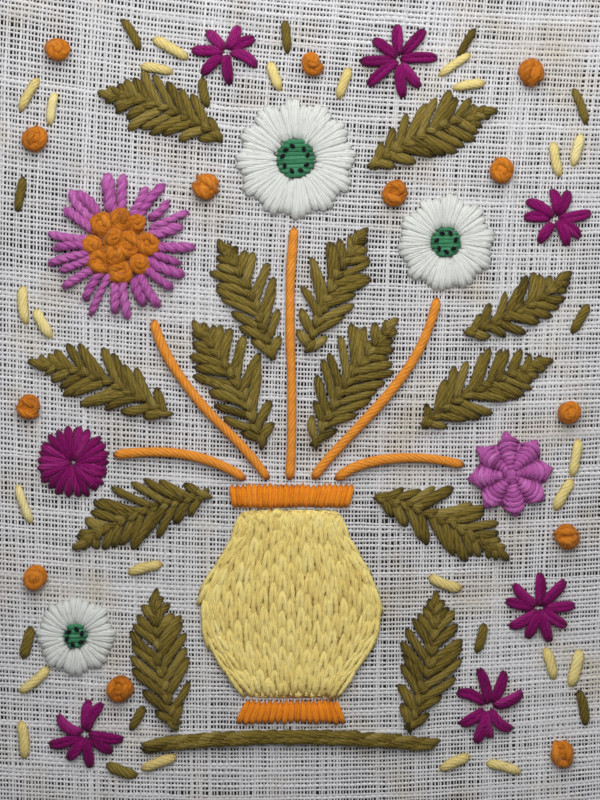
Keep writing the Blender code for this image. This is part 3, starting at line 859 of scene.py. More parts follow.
@dataclass
class Urn(Worked):
    """The urn's body: columns of split stitch that spread to its belly, inside two edge columns."""

    wool: Wool = Wool.YELLOW
    x: float = -2.0
    bottom: float = -64.0
    top: float = -24.0
    stations: tuple[float, ...] = (0, 0.12, 0.3, 0.5, 0.7, 0.85, 1)
    half_widths: tuple[float, ...] = (9.5, 13.5, 18.6, 20, 16.8, 11.8, 11)
    columns: int = 12
    column_width: float = 1.95
    stitch_length: float = 7.4
    stitch_step: float = 3.9
    ground_rows: int = 24

    def half_width(self, y: Array) -> Array:
        """Half width at a height, softened between the stations."""
        share = (y - self.bottom) / (self.top - self.bottom)
        near = [np.interp(np.clip(share + shift, 0, 1), self.stations, self.half_widths)
                for shift in (-0.05, 0, 0.05)]
        return sum(near) / 3

    def pads(self) -> list[Disc]:
        """Discs up the middle of the urn."""
        heights = (-59.0, -52.0, -44.0, -36.0, -28.0)
        return [(self.x, y, 0.8 * float(self.half_width(np.array(y)))) for y in heights]

    def column(self, y: Array, place: float) -> Array:
        """Plan points of one column, whose distance from the middle grows with the half width."""
        spread = 0.5 + 0.5 * self.half_width(y) / 20.0
        return np.stack([self.x + place * spread, y], axis=-1)

    def stitch_on(self, bundle: YarnBundle) -> None:
        """Level ground stitches, columns clipped by the outline, then edge columns along it."""
        rng = bundle.rng
        level = np.linspace(self.bottom + 0.8, self.top - 0.8, self.ground_rows)
        reach = self.half_width(level) - 0.5
        bundle.stitch(np.stack([self.x - reach, level], axis=1), np.stack([self.x + reach, level], axis=1),
                      2.2, 0.5, rings=10, end_shades=(0, 0), furry=False)
        for index, place in enumerate(np.arange(-self.columns, self.columns + 1) * self.column_width):
            first = self.bottom - self.stitch_step * (0.5 * (index % 2) + 0.4 * rng.random())
            low = np.arange(first, self.top, self.stitch_step)
            low = low + bundle.vary(0.4, len(low))
            ends = np.clip(np.stack([low, low + self.stitch_length]), self.bottom + 0.2, self.top - 0.2)
            end, start = (self.column(y, place) for y in ends)
            keep = ends[1] - ends[0] > 2.0
            for point in (start, end):
                keep &= np.abs(point[:, 0] - self.x) < self.half_width(point[:, 1]) - 0.9
            if keep.any():
                self.split(bundle, start[keep], end[keep])
        for sign in (-1.0, 1.0):
            for inset in (0.75, 2.5):
                low = np.arange(self.bottom + 0.2, self.top - 2.5, self.stitch_step * 0.92)
                ends = np.stack([low, np.minimum(low + self.stitch_length * 0.95, self.top - 0.2)])
                end, start = (np.stack([self.x + sign * (self.half_width(y) - inset), y], axis=-1)
                              for y in ends)
                self.split(bundle, start, end, 0.1)

    def split(self, bundle: YarnBundle, start: Array, end: Array, base: float = 0.0) -> None:
        """Split stitches: the two plies of each part round the place where the next comes up.

        With s from 0 at the start to 1 at the end, a ply lies aside of the stitch's line by a
        smooth step in s. It comes up narrow between the plies of the stitch before, swells, and
        then sinks slowly under the next one.

        Args:
            bundle: Bundle that takes the plies.
            start: Places where the stitches come up.
            end: Places where they go down.
            base: Height at which they are carried.
        """
        rng = bundle.rng
        vary = bundle.vary
        count = len(start)
        start = start + vary(0.16, (count, 2)) * np.array([1.0, 2.2])
        end = end + vary(0.22, (count, 2)) * np.array([1.0, 2.2])
        s = np.array([0.0, 0.07, 0.17, 0.3, 0.46, 0.64, 0.82, 1.0])
        chord = end - start
        aside = 0.05 + 0.5 * smooth(s / 0.55) + 0.12 * np.clip((s - 0.55) / 0.45, 0, 1)
        climb = smooth(s / 0.22)
        swell = smooth(s / 0.4)
        sink = np.clip((s - 0.5) / 0.5, 0, 1) ** 2
        lift = base + rng.uniform(-0.07, 0.07, (count, 1))
        tone = vary(0.05, (count, 1))
        for sign in (1.0, -1.0):
            plan = start[:, None] + chord[:, None] * s[None, :, None]
            away = (aside * rng.uniform(0.85, 1.15, (count, 1)))[..., None]
            plan = plan + sign * left_of(unit(chord))[:, None] * away
            z = bundle.cloth.face(plan[..., 0], plan[..., 1]) + lift + 0.42 + 0.42 * climb - 0.75 * sink
            path = np.concatenate([plan, z[..., None]], axis=-1)
            half = (0.21 + 0.42 * swell - 0.22 * sink) * rng.uniform(0.92, 1.08, (count, 1))
            # Painted shade: darker where a ply comes up out of its hole, and where it sinks under the next
            # stitch.
            shade = 0.5 + tone + vary(0.04, (count, 1)) - 0.5 * np.clip(1 - s / 0.1, 0, 1)
            bundle.lay(path, half, 0.85 * half, shade - 0.06 * sink, twist=0.1)


@dataclass
class Band(Worked):
    """A band of upright satin stitches between two level edges."""

    wool: Wool = Wool.ORANGE
    x: float = -2.0
    bottom: float = -23.0
    top: float = -18.5
    bottom_half: float = 12.5
    top_half: float = 13.5
    spacing: float = 1.15

    def pads(self) -> list[Disc]:
        """Discs along the band."""
        return [(self.x + shift, (self.bottom + self.top) / 2, 3.0) for shift in (-9.0, -4.5, 0.0, 4.5, 9.0)]

    def stitch_on(self, bundle: YarnBundle) -> None:
        """Stitches side by side, each tilted a little as the band widens."""
        count = round(2 * self.top_half / self.spacing)
        share = (np.arange(count) + 0.5) / count * 2 - 1
        wobble = bundle.vary(0.13, (2, count))
        low = np.stack([self.x + share * self.bottom_half, self.bottom + wobble[0]], axis=1)
        high = np.stack([self.x + share * self.top_half + 0.25, self.top + wobble[1]], axis=1)
        bundle.stitch(low, high, self.spacing * 1.3, 1.35, tone=0.05, end_shades=(0.7, 0.7), blunt=1.4, twist=0.02)


@dataclass
class Line(Worked):
    """A shape worked along a cubic curve, over discs of carried yarn."""

    points: tuple[Plan, ...] = ((0, 0), (10, 0), (20, 0), (30, 0))
    pad_radius: float = 0.4
    pad_margin: float = 0.03
    pad_count: int = 16

    def pads(self) -> list[Disc]:
        """Discs along the line."""
        share = np.linspace(self.pad_margin, 1 - self.pad_margin, self.pad_count)
        return [(*place, self.pad_radius) for place in cubic(self.points, share).tolist()]

    def run(self) -> Array:
        """Distance along the line at even shares of the curve."""
        return run_along(cubic(self.points, CURVE_SHARES)[None])[0]

    def at(self, distance: Array) -> Array:
        """Plan points at distances along the line."""
        return cubic(self.points, np.interp(distance, self.run(), CURVE_SHARES))


@dataclass
class TwistedLine(Line):
    """One long two-ply strand laid along a curve, which dives into the cloth at its ends."""

    special: ClassVar[WoolFinish] = TWISTED_ORANGE
    wool: Wool = Wool.ORANGE
    width: float = 2.1
    ring_step: float = 0.55

    def stitch_on(self, bundle: YarnBundle) -> None:
        """Sweep the strand in even steps, with slow wander and small swells."""
        length = self.run()[-1]
        rings = int(length / self.ring_step)
        plan = self.at(np.linspace(0, length, rings)) + 0.10 * soft_noise(bundle.rng, 2, rings, 9).T
        from_end = np.minimum(np.arange(rings), np.arange(rings)[::-1]) * self.ring_step
        arch = 1 - np.clip(1 - from_end / 1.6, 0, 1) ** 2
        swell = 1 + 0.04 * soft_noise(bundle.rng, 1, rings, 4)
        half = self.width / 2 * swell * (0.5 + 0.5 * arch)
        z = bundle.cloth.face(plan[:, 0], plan[:, 1]) + arch * 0.72 - (1 - arch) * 0.35
        # Painted shade: darker near the ends, where the strand dives into the cloth.
        shade = 0.5 - 0.4 * np.clip(1 - from_end / 1.1, 0, 1)
        bundle.lay(np.column_stack([plan, z])[None], half, 0.82 * half, shade[None], sides=12, twist=0.1)


@dataclass
class RopeLine(Line):
    """A line of stem stitch: each stitch overlaps the last and leans across the line."""

    pad_radius: float = 0.8
    pad_margin: float = 0.02
    pad_count: int = 18
    step: float = 3.0
    stitch_length: float = 6.4

    def stitch_on(self, bundle: YarnBundle) -> None:
        """Stitches from below the line to above it, worked from left to right."""
        length = self.run()[-1]
        for row, level in enumerate((-0.55, 0.55)):
            low = np.arange(-0.5 * row * self.step, length - self.stitch_length * 0.8, self.step)
            low = np.maximum(low + bundle.vary(0.2, len(low)), 0)
            high = np.minimum(low + self.stitch_length, length)
            count = len(low)
            bundle.stitch(self.at(low) + (0, level - 0.45), self.at(high) + (0, level + 0.45),
                          1.9 + bundle.vary(0.1, count), 1.4, base=0.1 + 0.1 * bundle.rng.random(count),
                          bow=-0.12, tone=0.1, end_shades=(0.4, 0.5), twist=0.07)


@dataclass
class Round(Worked):
    """A shape worked about a centre, over one disc of carried yarn if it has a radius."""

    centre: Plan = (0.0, 0.0)
    radius: float = 8.5
    pad_share: float = 0.0
    pad_inset: float = 0.0

    def pads(self) -> list[Disc]:
        """The disc, by a share of the shape's radius less an inset."""
        radius = self.pad_share * self.radius - self.pad_inset
        return [(*self.centre, radius)] if radius > 0 else []

    def out(self, angle: Array, reach: Array | float) -> Array:
        """Plan points at angles and distances from the centre."""
        return np.array(self.centre) + turned(angle) * np.reshape(reach, (-1, 1))


@dataclass
class Daisy(Round):
    """A daisy: petals of white satin stitches that fan out round a green centre."""

    wool: Wool = Wool.WHITE
    pad_share: float = 1.0
    pad_inset: float = 1.5
    hole: float = 4.6
    petals: int = 12
    turn: float = 0.1
    strands: int = 4

    def stitch_on(self, bundle: YarnBundle) -> None:
        """Radial stitches in groups: the outer ends of a group lie on a rounded lobe."""
        vary = bundle.vary
        petal = np.repeat(np.arange(self.petals), self.strands)
        offset = np.tile((np.arange(self.strands) + 0.5) / self.strands - 0.5, self.petals)
        offset = offset + vary(0.02, len(offset))
        angle = TURN * (petal + self.turn + 0.93 * offset) / self.petals
        outer = self.radius * (1 - 0.13 * (2 * np.abs(offset)) ** 2) + vary(0.15, len(offset))
        inner = self.hole - 0.35 + vary(0.25, len(offset))
        outer_width = TURN * self.radius / (self.petals * self.strands) * 1.36
        bundle.stitch(self.out(angle, inner), self.out(angle, outer), outer_width, 1.25,
                      base=0.1 * (1 - 2 * np.abs(offset)), fan=0.48, end_shades=(0.4, 0.5), belly=-0.2,
                      twist=0.02, tone=0.05, blunt=1.0)


@dataclass
class DaisyCentre(Round):
    """The daisy's centre: level green satin stitches and a loop of small dark stamens."""

    wool: Wool = Wool.GREEN
    stamens: int = 8

    def stitch_on(self, bundle: YarnBundle) -> None:
        """Level stitches whose ends lie on the circle."""
        count = max(4, round(2 * self.radius / 0.95))
        level = ((np.arange(count) + 0.5) / count * 2 - 1) * self.radius * 0.94
        half = np.sqrt(self.radius ** 2 - level ** 2) + bundle.vary(0.12, count)
        start = np.stack([-half, level], axis=1) + self.centre
        end = np.stack([half, level + 0.2], axis=1) + self.centre
        bundle.stitch(start, end, 1.2, 1.25, end_shades=(0.5, 0.5), twist=0.03, blunt=1.2)

    def work(self, cloth: Linen) -> list[Piece]:
        """The green ground, and the stamens as a piece of their own."""
        ground = super().work(cloth)
        dots = YarnBundle(self.node + "_stamens", BLACK_STAMENS, cloth, self.seed + 500)
        angle = TURN * (np.arange(self.stamens) + 0.3) / self.stamens + dots.vary(0.08, self.stamens)
        middle = self.out(angle, self.radius * 0.66)
        reach = turned(angle + 0.9) * 0.42
        dots.stitch(middle - reach, middle + reach, 0.95, 0.9, base=1.0, end_shades=(0, 0), drop=-0.9)
        return ground + [dots.build(1.0)]


@dataclass
class Blossom(Round):
    """The large blossom: thick wrapped petals of uneven length round a knotted centre."""

    special: ClassVar[WoolFinish] = ROPED_PINK
    wool: Wool = Wool.PINK
    hair_density: float = 32.0
    centre: Plan = (-39.0, 33.5)
    radius: float = 16.3
    pad_share: float = 1.0
    pad_inset: float = 3.0
    hole: float = 7.6
    petals: int = 26

    def stitch_on(self, bundle: YarnBundle) -> None:
        """Petals fan out in turn long and short, each a strand with a steep wrap."""
        vary = bundle.vary
        index = np.arange(self.petals)
        angle = TURN * (index + vary(0.13, self.petals)) / self.petals
        outer = self.radius - 1.5 * (index % 2) - 1.4 * bundle.rng.random(self.petals)
        inner = self.hole - 1.0 + vary(0.8, self.petals)
        start = self.out(angle, inner)
        end = self.out(angle + vary(0.035, self.petals), outer)
        bundle.stitch(start, end, 2.15 + vary(0.2, self.petals), 2.0, base=0.25 * (index % 2),
                      bow=vary(0.3, self.petals), end_shades=(0.2, 0.7), rings=26, blunt=1.3, sides=7,
                      tone=0.06, plies=2, wind=0.27)


class KnotStyle(Enum):
    """How the wraps of a French knot settle."""

    SPIRAL = "spiral"
    WRAPPED = "wrapped"


@dataclass
class FrenchKnot:
    """One French knot: lumpy wraps of a strand over a small dome."""

    centre: Array
    radius: float = 2.7
    height: float = 2.8
    base: float = 0.0
    style: KnotStyle = KnotStyle.SPIRAL

    def wind(self, bundle: YarnBundle) -> None:
        """Wind the knot into a bundle in its own style."""
        yarn = self.radius * bundle.rng.uniform(0.35, 0.40)
        inside = np.array([[0.45, 0.2]]) * self.radius
        bundle.stitch(self.centre - inside, self.centre + inside, 1.15 * self.radius, self.height * 0.75,
                      base=self.base, end_shades=(0.3, 0.3), blunt=2.0, furry=False)
        if self.style is KnotStyle.SPIRAL:
            self.coil(bundle, yarn, bundle.rng.uniform(1.7, 2.1), 80.0)
        else:
            self.coil(bundle, yarn, bundle.rng.uniform(1.2, 1.5), 28.0)
            self.cross(bundle, yarn)

    def coil(self, bundle: YarnBundle, yarn: float, winds: float, top: float, samples: int = 50) -> None:
        """Coil a strand up the dome.

        With t from 0 to 1 the strand climbs the dome from its rim, so its distance from the
        middle is the cosine of the climb and its height the sine. The dome's top leans to one
        side, and slow noise swells and dents the wraps. Near its end the strand dives in.

        Args:
            bundle: Bundle that takes the strand.
            yarn: Half width of the strand.
            winds: Turns round the dome.
            top: Climb at the end, in degrees.
            samples: Rings along the strand.
        """
        rng = bundle.rng

        def uneven(reach: float) -> Array:
            """Factors of about one that vary slowly along the strand."""
            return 1 + 0.1 * soft_noise(rng, 1, samples, reach)[0]

        t = np.linspace(0, 1, samples)
        climb = np.clip(t / 0.9, 0, 1) ** 0.9 * math.radians(top)
        close = np.clip((t - 0.92) / 0.08, 0, 1)
        sense = 1.0 if rng.random() < 0.7 else -1.0
        angle = rng.uniform(0, TURN) + sense * TURN * winds * t
        dent = uneven(4)
        oval = 1 + 0.11 * np.cos(2 * angle + rng.uniform(0, TURN))
        away = (self.radius - yarn) * np.cos(climb) * dent * oval
        lean = turned(np.array(rng.uniform(0, TURN))) * rng.uniform(0.2, 0.7)
        plan = self.centre + turned(angle) * away[:, None] + lean * np.sin(climb)[:, None]
        rise = yarn * 0.7 + (self.height - 1.7 * yarn) * np.sin(climb) * uneven(5) - 0.9 * yarn * close ** 2
        z = bundle.cloth.face(plan[:, 0], plan[:, 1]) + self.base + rise
        open_end = np.clip(t / 0.05, 0, 1) ** 0.5
        half = yarn * (0.5 + 0.5 * open_end) * (1 - 0.3 * close) * uneven(3)
        # Painted shade: darker near the end, where the strand dives in, and low on the dome by its rim.
        shade = 0.5 + 0.05 * rng.standard_normal() - 0.35 * close - 0.22 * (1 - np.sin(climb)) ** 2
        half = half[None]
        bundle.lay(np.column_stack([plan, z])[None], half, 0.95 * half, shade[None], sides=9, twist=0.17)

    def cross(self, bundle: YarnBundle, yarn: float, count: int = 2) -> None:
        """Lay bowed wraps side by side over the top of the coil."""
        rng = bundle.rng
        vary = bundle.vary
        level = (np.arange(count) - (count - 1) / 2) * 1.75 * yarn + vary(0.12, count)
        reach = np.sqrt(np.maximum(self.radius ** 2 - level ** 2, 0.5)) * rng.uniform(0.72, 0.92, count)
        ahead = turned(np.array(rng.uniform(0, TURN)))
        middle = self.centre + left_of(ahead) * level[:, None] + vary(0.15, (count, 2))
        bundle.stitch(middle - ahead * reach[:, None], middle + ahead * reach[:, None], 2 * yarn, 2 * yarn,
                      base=self.base + self.height - 2.1 * yarn, bow=level * 0.5 + vary(0.2, count),
                      rings=12, end_shades=(0.5, 0.5), blunt=0.3, drop=-0.5, sides=9, twist=0.17)


@dataclass
class KnotCluster(Round):
    """French knots that fill the blossom's centre, a few in the middle and a loop round them."""

    special: ClassVar[WoolFinish] = SHADED_KNOT_ORANGE
    wool: Wool = Wool.ORANGE
    hair_density: float = 18.0
    centre: Plan = (-39.0, 33.5)
    radius: float = 7.7
    inner: int = 3
    outer: int = 8

    def stitch_on(self, bundle: YarnBundle) -> None:
        """One knot at each place, every third a spiral, over a ground of short stitches."""
        rng = bundle.rng
        centre = np.array(self.centre)
        for count, reach, base in ((self.outer, 0.74, 0.05), (self.inner, 0.30, 0.45)):
            for index in range(count):
                place = centre + turned(np.array(TURN * index / count)) * reach * self.radius
                style = KnotStyle.SPIRAL if index % 3 == 1 else KnotStyle.WRAPPED
                FrenchKnot(place + bundle.vary(0.25, 2), rng.uniform(2.5, 2.9), rng.uniform(2.5, 3.0),
                           base, style).wind(bundle)
        angle = TURN * np.arange(12) / 12
        bundle.stitch(self.out(angle, -1.2), self.out(angle, 6.2), 1.9, 1.0, end_shades=(0.5, 0.5))


@dataclass
class Knot(Round):
    """A single French knot."""

    special: ClassVar[WoolFinish] = SHADED_KNOT_ORANGE
    wool: Wool = Wool.ORANGE
    hair_density: float = 25.0
    radius: float = 2.7
    pad_inset: float = -0.8
    height: float = 2.8

    def stitch_on(self, bundle: YarnBundle) -> None:
        """One knot, a little larger or smaller than usual."""
        size = bundle.rng.uniform(0.98, 1.16)
        style = KnotStyle.SPIRAL if self.seed % 3 == 0 else KnotStyle.WRAPPED
        FrenchKnot(np.array(self.centre), self.radius * size, self.height * size, style=style).wind(bundle)


@dataclass
class Wheel(Round):
    """A ribbed wheel: wraps of yarn over eight spokes stand up as ribs with deep valleys."""

    wool: Wool = Wool.PINK
    hair_density: float = 9.0
    centre: Plan = (45.5, -16.0)
    radius: float = 9.0
    pad_share: float = 1.0
    pad_inset: float = 2.0
    spokes: int = 8
    wraps: int = 7
    turn: float = 0.15

    def stitch_on(self, bundle: YarnBundle) -> None:
        """Wraps lie across each spoke from valley to valley, over a ground that fills the valleys."""
        vary = bundle.vary
        direction = TURN * (np.arange(self.spokes) + self.turn) / self.spokes
        valley = direction + TURN / self.spokes / 2
        bundle.stitch(self.out(valley, 1.2), self.out(valley, self.radius - 2.0), 2.4, 1.0)
        spoke = np.repeat(direction, self.wraps)
        share = np.tile(np.arange(self.wraps), self.spokes) / (self.wraps - 1)
        angle = spoke + vary(0.015, len(spoke))
        reach = 1.9 + (self.radius - 2.9) * share + vary(0.06, len(spoke))
        half_angle = TURN / self.spokes / 2 * (1.18 - 0.36 * share ** 3)
        inner = reach * np.cos(half_angle) - 0.3 - 0.35 * share
        start = self.out(angle - half_angle, inner + 0.2)
        end = self.out(angle + half_angle, inner - 0.2)
        bow = 0.75 * (np.linalg.norm((start + end) / 2 - self.centre, axis=1) - reach)
        bundle.stitch(start, end, 1.5 + vary(0.08, len(spoke)), 1.3, base=0.9 + 0.3 * share, bow=bow,
                      tone=0.1, end_shades=(0.5, 0.5), blunt=0.5, drop=0.0, twist=0.06)
        start, end = (self.out(direction, self.radius - inset) for inset in (2.8, 0.2))
        bundle.stitch(start, end, 2.4, 1.6, base=0.3, end_shades=(0.1, 0.5), blunt=1.3)
        hub = direction[: self.spokes // 2]
        bundle.stitch(self.out(hub, -2.1), self.out(hub, 2.1), 1.6, 1.2, base=0.85, end_shades=(0.2, 0.2))


@dataclass
class Rosette(Round):
    """A dense rosette: pairs of radial satin stitches that swirl a little."""

    wool: Wool = Wool.MAGENTA
    hair_density: float = 9.0
    centre: Plan = (-49.0, -13.5)
    radius: float = 7.5
    pad_share: float = 1.0
    pad_inset: float = 1.5
    lobes: int = 20

    def stitch_on(self, bundle: YarnBundle) -> None:
        """Two layers of stitches, the upper ones between the lower ones."""
        for layer, (count, reach) in enumerate(((self.lobes + 2, 0.98), (self.lobes, 1.0))):
            angle = TURN * (np.arange(count) + 0.5 * layer + bundle.vary(0.12, count)) / count
            outer = self.radius * reach * (1 + bundle.vary(0.03, count))
            inner = 0.6 + 0.35 * bundle.rng.random(count)
            bundle.stitch(self.out(angle - 0.35, inner), self.out(angle, outer), 2.15, 1.35,
                          base=0.35 * layer, fan=0.45, belly=-0.1, tone=0.09, end_shades=(0.5, 0.7))


@dataclass
class Star(Round):
    """A star flower: lens-shaped petals, each of two strands, round a bare spot of linen."""

    wool: Wool = Wool.MAGENTA
    pad_share: float = 0.55
    petals: int = 8
    turn: float = 0.0

    def stitch_on(self, bundle: YarnBundle) -> None:
        """Two strands share the ends of a petal and bow apart a little at its middle."""
        rng = bundle.rng
        vary = bundle.vary
        angle = TURN * (np.arange(self.petals) + self.turn + vary(0.14, self.petals)) / self.petals
        outer = self.radius * (1 - 0.22 * rng.random(self.petals))
        inner = 0.6 + 0.9 * rng.random(self.petals)
        hub = np.array(self.centre) + vary(0.25, 2)
        base = 0.3 * rng.random(self.petals)
        sway = vary(0.05, self.petals)
        side = turned(angle + math.pi / 2)
        for sign in (1.0, -1.0):
            start = hub + turned(angle + 2.5 * sway) * inner[:, None] + side * sign * 0.2
            end = hub + turned(angle + sway) * outer[:, None] + side * sign * 0.28
            bundle.stitch(start, end, 1.62, 1.4, base=base + 0.08 * (sign > 0), bow=sign * 0.22 + 6 * sway,
                          belly=-0.2, tone=0.09, end_shades=(0.4, 0.7), blunt=0.9, rings=10, twist=0.1)


@dataclass
class Seeds:
    """Straight seed stitches of one wool on bare linen, each by X, Y, length and direction."""

    name: str
    finish: WoolFinish
    seed: int
    rows: tuple[tuple[float, ...], ...]

    def work(self, cloth: Linen) -> Piece:
        """Lay every seed stitch and return the piece."""
        bundle = YarnBundle(self.name, self.finish, cloth, self.seed)
        x, y, length, degrees = np.array(self.rows).T
        middle = np.stack([x, y], axis=1)
        reach = turned(np.radians(degrees)) * (0.55 * length)[:, None]
        bundle.stitch(middle - reach, middle + reach, 2.25 + bundle.vary(0.2, len(x)), 1.3,
                      bow=bundle.vary(0.25, len(x)), tone=0.1, end_shades=(0.8, 0.8), rings=12, belly=0.15,
                      blunt=0.8, twist=0.1)
        return bundle.build(12.0)


LEAVES = tuple(
    Leaf(f"leaf_{index + 1:02d}", 101 + index, base=base, tip=tip, width=width, bend=bend)
    for index, (base, tip, width, bend) in enumerate((
        ((3.4, -9.5), (21.0, 17.5), 13.5, 0.10), ((-8.0, -9.5), (-23.0, 17.0), 13.5, -0.10),
        ((1.8, 10.5), (14.5, 37.0), 12.5, 0.10), ((-6.2, 9.5), (-17.5, 34.5), 12.0, -0.10),
        ((26.5, -5.5), (54.5, 8.5), 12.5, 0.12), ((-28.5, -3.0), (-58.5, 8.5), 12.5, -0.12),
        ((16.5, -21.0), (45.0, -34.5), 12.5, 0.12), ((-20.0, -20.5), (-49.0, -32.0), 12.5, -0.12),
        ((23.5, -71.0), (29.5, -41.5), 12.5, -0.10), ((-27.0, -70.5), (-31.0, -41.0), 12.5, 0.08),
        ((15.5, 50.5), (42.5, 62.5), 12.0, 0.12), ((-17.0, 56.5), (-43.5, 66.5), 12.0, -0.12),
        ((36.5, 14.5), (58.5, 27.5), 10.0, -0.10),
    ))
)
LINES = (
    TwistedLine("stem_top", 201, points=((-2.2, -17), (-1, 0), (-3.6, 18), (-1.2, 37))),
    TwistedLine("stem_left", 202, points=((-7, -17), (-12.5, -7.5), (-27.5, 1), (-31.5, 17))),
    TwistedLine("stem_right", 203, points=((2.8, -17), (8.5, -7.5), (25.5, 2), (29.5, 21.8))),
    TwistedLine("stem_low_left", 204, points=((-12, -17), (-17, -12.3), (-28, -9.8), (-40.2, -12))),
    TwistedLine("stem_low_right", 205, points=((8, -17), (13, -12.3), (24, -11), (35.3, -14.2))),
    RopeLine("ground_line", 206, points=((-34, -74.6), (-10, -72), (8, -72), (30, -74.6))),
)
STARS = tuple(
    Star(f"star_{index + 1}", 311 + index, centre=centre, radius=radius, petals=petals, turn=turn)
    for index, (centre, radius, petals, turn) in enumerate((
        ((21, 73.5), 8.5, 8, 0.0), ((-16, 75.5), 7.5, 7, 0.4), ((55, 39.5), 7.5, 8, 0.3),
        ((51.5, -44.5), 8.5, 9, 0.2), ((41, -66.5), 8.5, 8, 0.5), ((-46.5, -72), 8.5, 8, 0.15),
    ))
)
FLOWERS = (
    Daisy("daisy_top", 301, centre=(-1, 52), radius=13, hole=4.6, petals=12, turn=0.1),
    Daisy("daisy_right", 302, centre=(31.5, 34), radius=10.5, hole=3.6, petals=10, turn=0.25),
    Daisy("daisy_low", 303, centre=(-48.5, -51), radius=8.5, hole=3.0, petals=8, turn=0.0),
    DaisyCentre("daisy_top_centre", 304, centre=(-1, 52), radius=4.2, stamens=9),
    DaisyCentre("daisy_right_centre", 305, centre=(31.5, 34), radius=3.2, stamens=7),
    DaisyCentre("daisy_low_centre", 306, centre=(-48.5, -51), radius=2.6, stamens=6),
    Blossom("blossom", 307), KnotCluster("blossom_centre", 308), Wheel("wheel", 309), Rosette("rosette", 310),
    *STARS,
)
KNOTS = tuple(
    Knot(f"knot_{index + 1:02d}", 401 + index, centre=centre)
    for index, centre in enumerate((
        (50, 70.5), (-52, 75.5), (43.5, 49.5), (-57, 56.5), (58, -3), (-58.5, -1.5), (57.5, -29.5),
        (-57, -38), (56.5, -76), (-38.9, -62.3), (2.5, 72.5), (-20.5, 46), (20.5, 44.8),
    ))
)
URN = (
    Urn("urn", 501), Band("urn_rim", 502),
    Band("urn_foot", 503, bottom=-69.6, top=-65.2, bottom_half=12, top_half=10),
)
SEEDS = (
    Seeds("seeds_yellow", STREWN_YELLOW, 91, (
        (9.5, 68.5, 6.0, 70), (-5.5, 70.0, 5.5, 110), (33.5, 72.5, 7.0, 35), (36.5, 68.0, 6.0, 10),
        (-28.0, 76.0, 7.5, 150), (-31.0, 71.5, 6.0, 170), (55.5, 52.0, 6.5, 100), (60.0, 54.0, 6.0, 75),
        (-58.5, 66.0, 7.0, 60), (-53.5, 63.0, 6.0, 80), (-59.5, 20.5, 7.0, 95), (-55.5, 16.5, 6.0, 120),
        (59.5, -12.5, 7.0, 80), (57.0, -20.5, 6.5, 60), (-59.5, -22.5, 7.5, 110), (-33.5, -36.5, 6.5, 15),
        (31.5, -39.5, 6.5, 160), (59.5, -58.0, 7.0, 75), (54.0, -57.0, 6.0, 105), (-57.5, -60.5, 7.0, 40),
        (-30.5, -78.5, 7.0, 20), (44.0, -79.5, 6.5, 165), (33.5, -78.5, 6.0, 25), (-60.0, -73.5, 7.0, 95),
    )),
    Seeds("seeds_olive", WOOLS[Wool.OLIVE], 92, (
        (36.0, 77.0, 6.5, 60), (-3.0, 78.5, 6.0, 95), (-36.5, 79.0, 6.5, 120), (60.5, 63.5, 7.0, 110),
        (-60.5, 44.5, 6.5, 80), (-59.0, -52.5, 6.0, 75), (-35.2, -68.8, 5.0, 60), (60.5, 17.5, 6.0, 60),
        (61.0, -66.5, 6.5, 100), (-20.5, 66.5, 5.5, 100), (39.0, -51.5, 5.5, 75), (-38.5, -80.0, 6.0, 160),
    )),
)


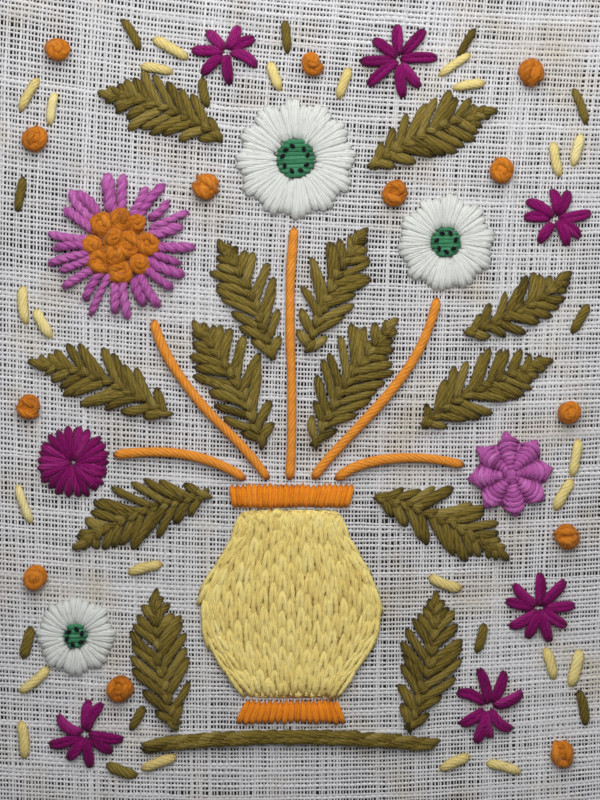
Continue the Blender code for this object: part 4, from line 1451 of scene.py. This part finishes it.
@dataclass(frozen=True)
class Studio:
    """A pale table, soft daylight from past the panel's upper end and a camera straight above."""

    view_length: float = 173.3
    camera_height: float = 350.0
    sensor: float = 36.0
    table_half: float = 12000.0
    table_drop: float = 0.05
    table_tint: Colour = (214, 213, 210)
    window: Triple = (10.0, 180.0, 250.0)
    window_size: float = 320.0
    window_power: float = 1.2
    room_tint: Colour = (236, 240, 246)
    room_strength: float = 0.19

    def stage(self) -> None:
        """Place the table under the panel, larger than any view shows."""
        half = self.table_half
        corners = np.array([(-half, -half), (half, -half), (half, half), (-half, half)])
        corners = np.column_stack([corners, np.full(4, -self.table_drop)])
        table = mesh_object("table", corners, np.array([[0, 1, 2, 3]]), np.zeros((0, 3), int), {})
        graph = Graph("table_top", 0.8, 0.5)
        graph.feed(graph.shader, {"Base Color": linear(self.table_tint)})
        table.data.materials.append(graph.material)

    def camera(self) -> None:
        """Look straight down so that the frame's long side spans the view's length."""
        data = bpy.data.cameras.new("camera")
        data.sensor_width = self.sensor
        data.lens = self.sensor * self.camera_height / self.view_length
        data.clip_start = 0.01
        data.clip_end = 10.0
        camera = bpy.data.objects.new("camera", data)
        camera.location = (0.0, 0.0, self.camera_height * MM)
        bpy.context.scene.collection.objects.link(camera)
        bpy.context.scene.camera = camera

    def light(self) -> None:
        """Set a square area light, the window, to face the panel's middle, and the room's light."""
        data = bpy.data.lights.new("window", "AREA")
        data.size = self.window_size * MM
        data.energy = self.window_power
        lamp = bpy.data.objects.new("window", data)
        x, y, z = self.window
        lamp.location = (x * MM, y * MM, z * MM)
        lamp.rotation_euler = (math.atan2(math.hypot(x, y), z), 0.0, math.atan2(-x, y) + math.pi)
        bpy.context.scene.collection.objects.link(lamp)
        world = bpy.data.worlds.new("room")
        world.use_nodes = True
        room = world.node_tree.nodes["Background"].inputs
        room["Color"].default_value = linear(self.room_tint)
        room["Strength"].default_value = self.room_strength
        bpy.context.scene.world = world
        bpy.context.scene.view_settings.view_transform = "Standard"


def settle(piece: Piece, nodes: tuple[str, ...]) -> None:
    """Ride a piece on the panel and the nodes that it stands for, if any."""
    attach(piece, "root")
    if nodes:
        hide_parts(*nodes)
    LOG.info("%s: %d faces", piece.name, len(piece.data.polygons))


def main() -> None:
    """Build the cloth, the worked shapes and the studio, in order."""
    logging.basicConfig(level=logging.INFO, format="%(name)s %(message)s")
    studio = Studio()
    studio.stage()
    studio.camera()
    studio.light()
    shapes = (*URN, *LINES, *LEAVES, *FLOWERS, *KNOTS)
    linen = Linen(pads=[pad for shape in shapes for pad in shape.pads()])
    core, *threads = linen.build()
    settle(core, ("linen_ground",))
    for piece in threads:
        settle(piece, ())
    for shape in shapes:
        for index, piece in enumerate(shape.work(linen)):
            settle(piece, (shape.node,) if index == 0 else ())
    for strewn in SEEDS:
        settle(strewn.work(linen), ())


if __name__ == "__main__":
    main()
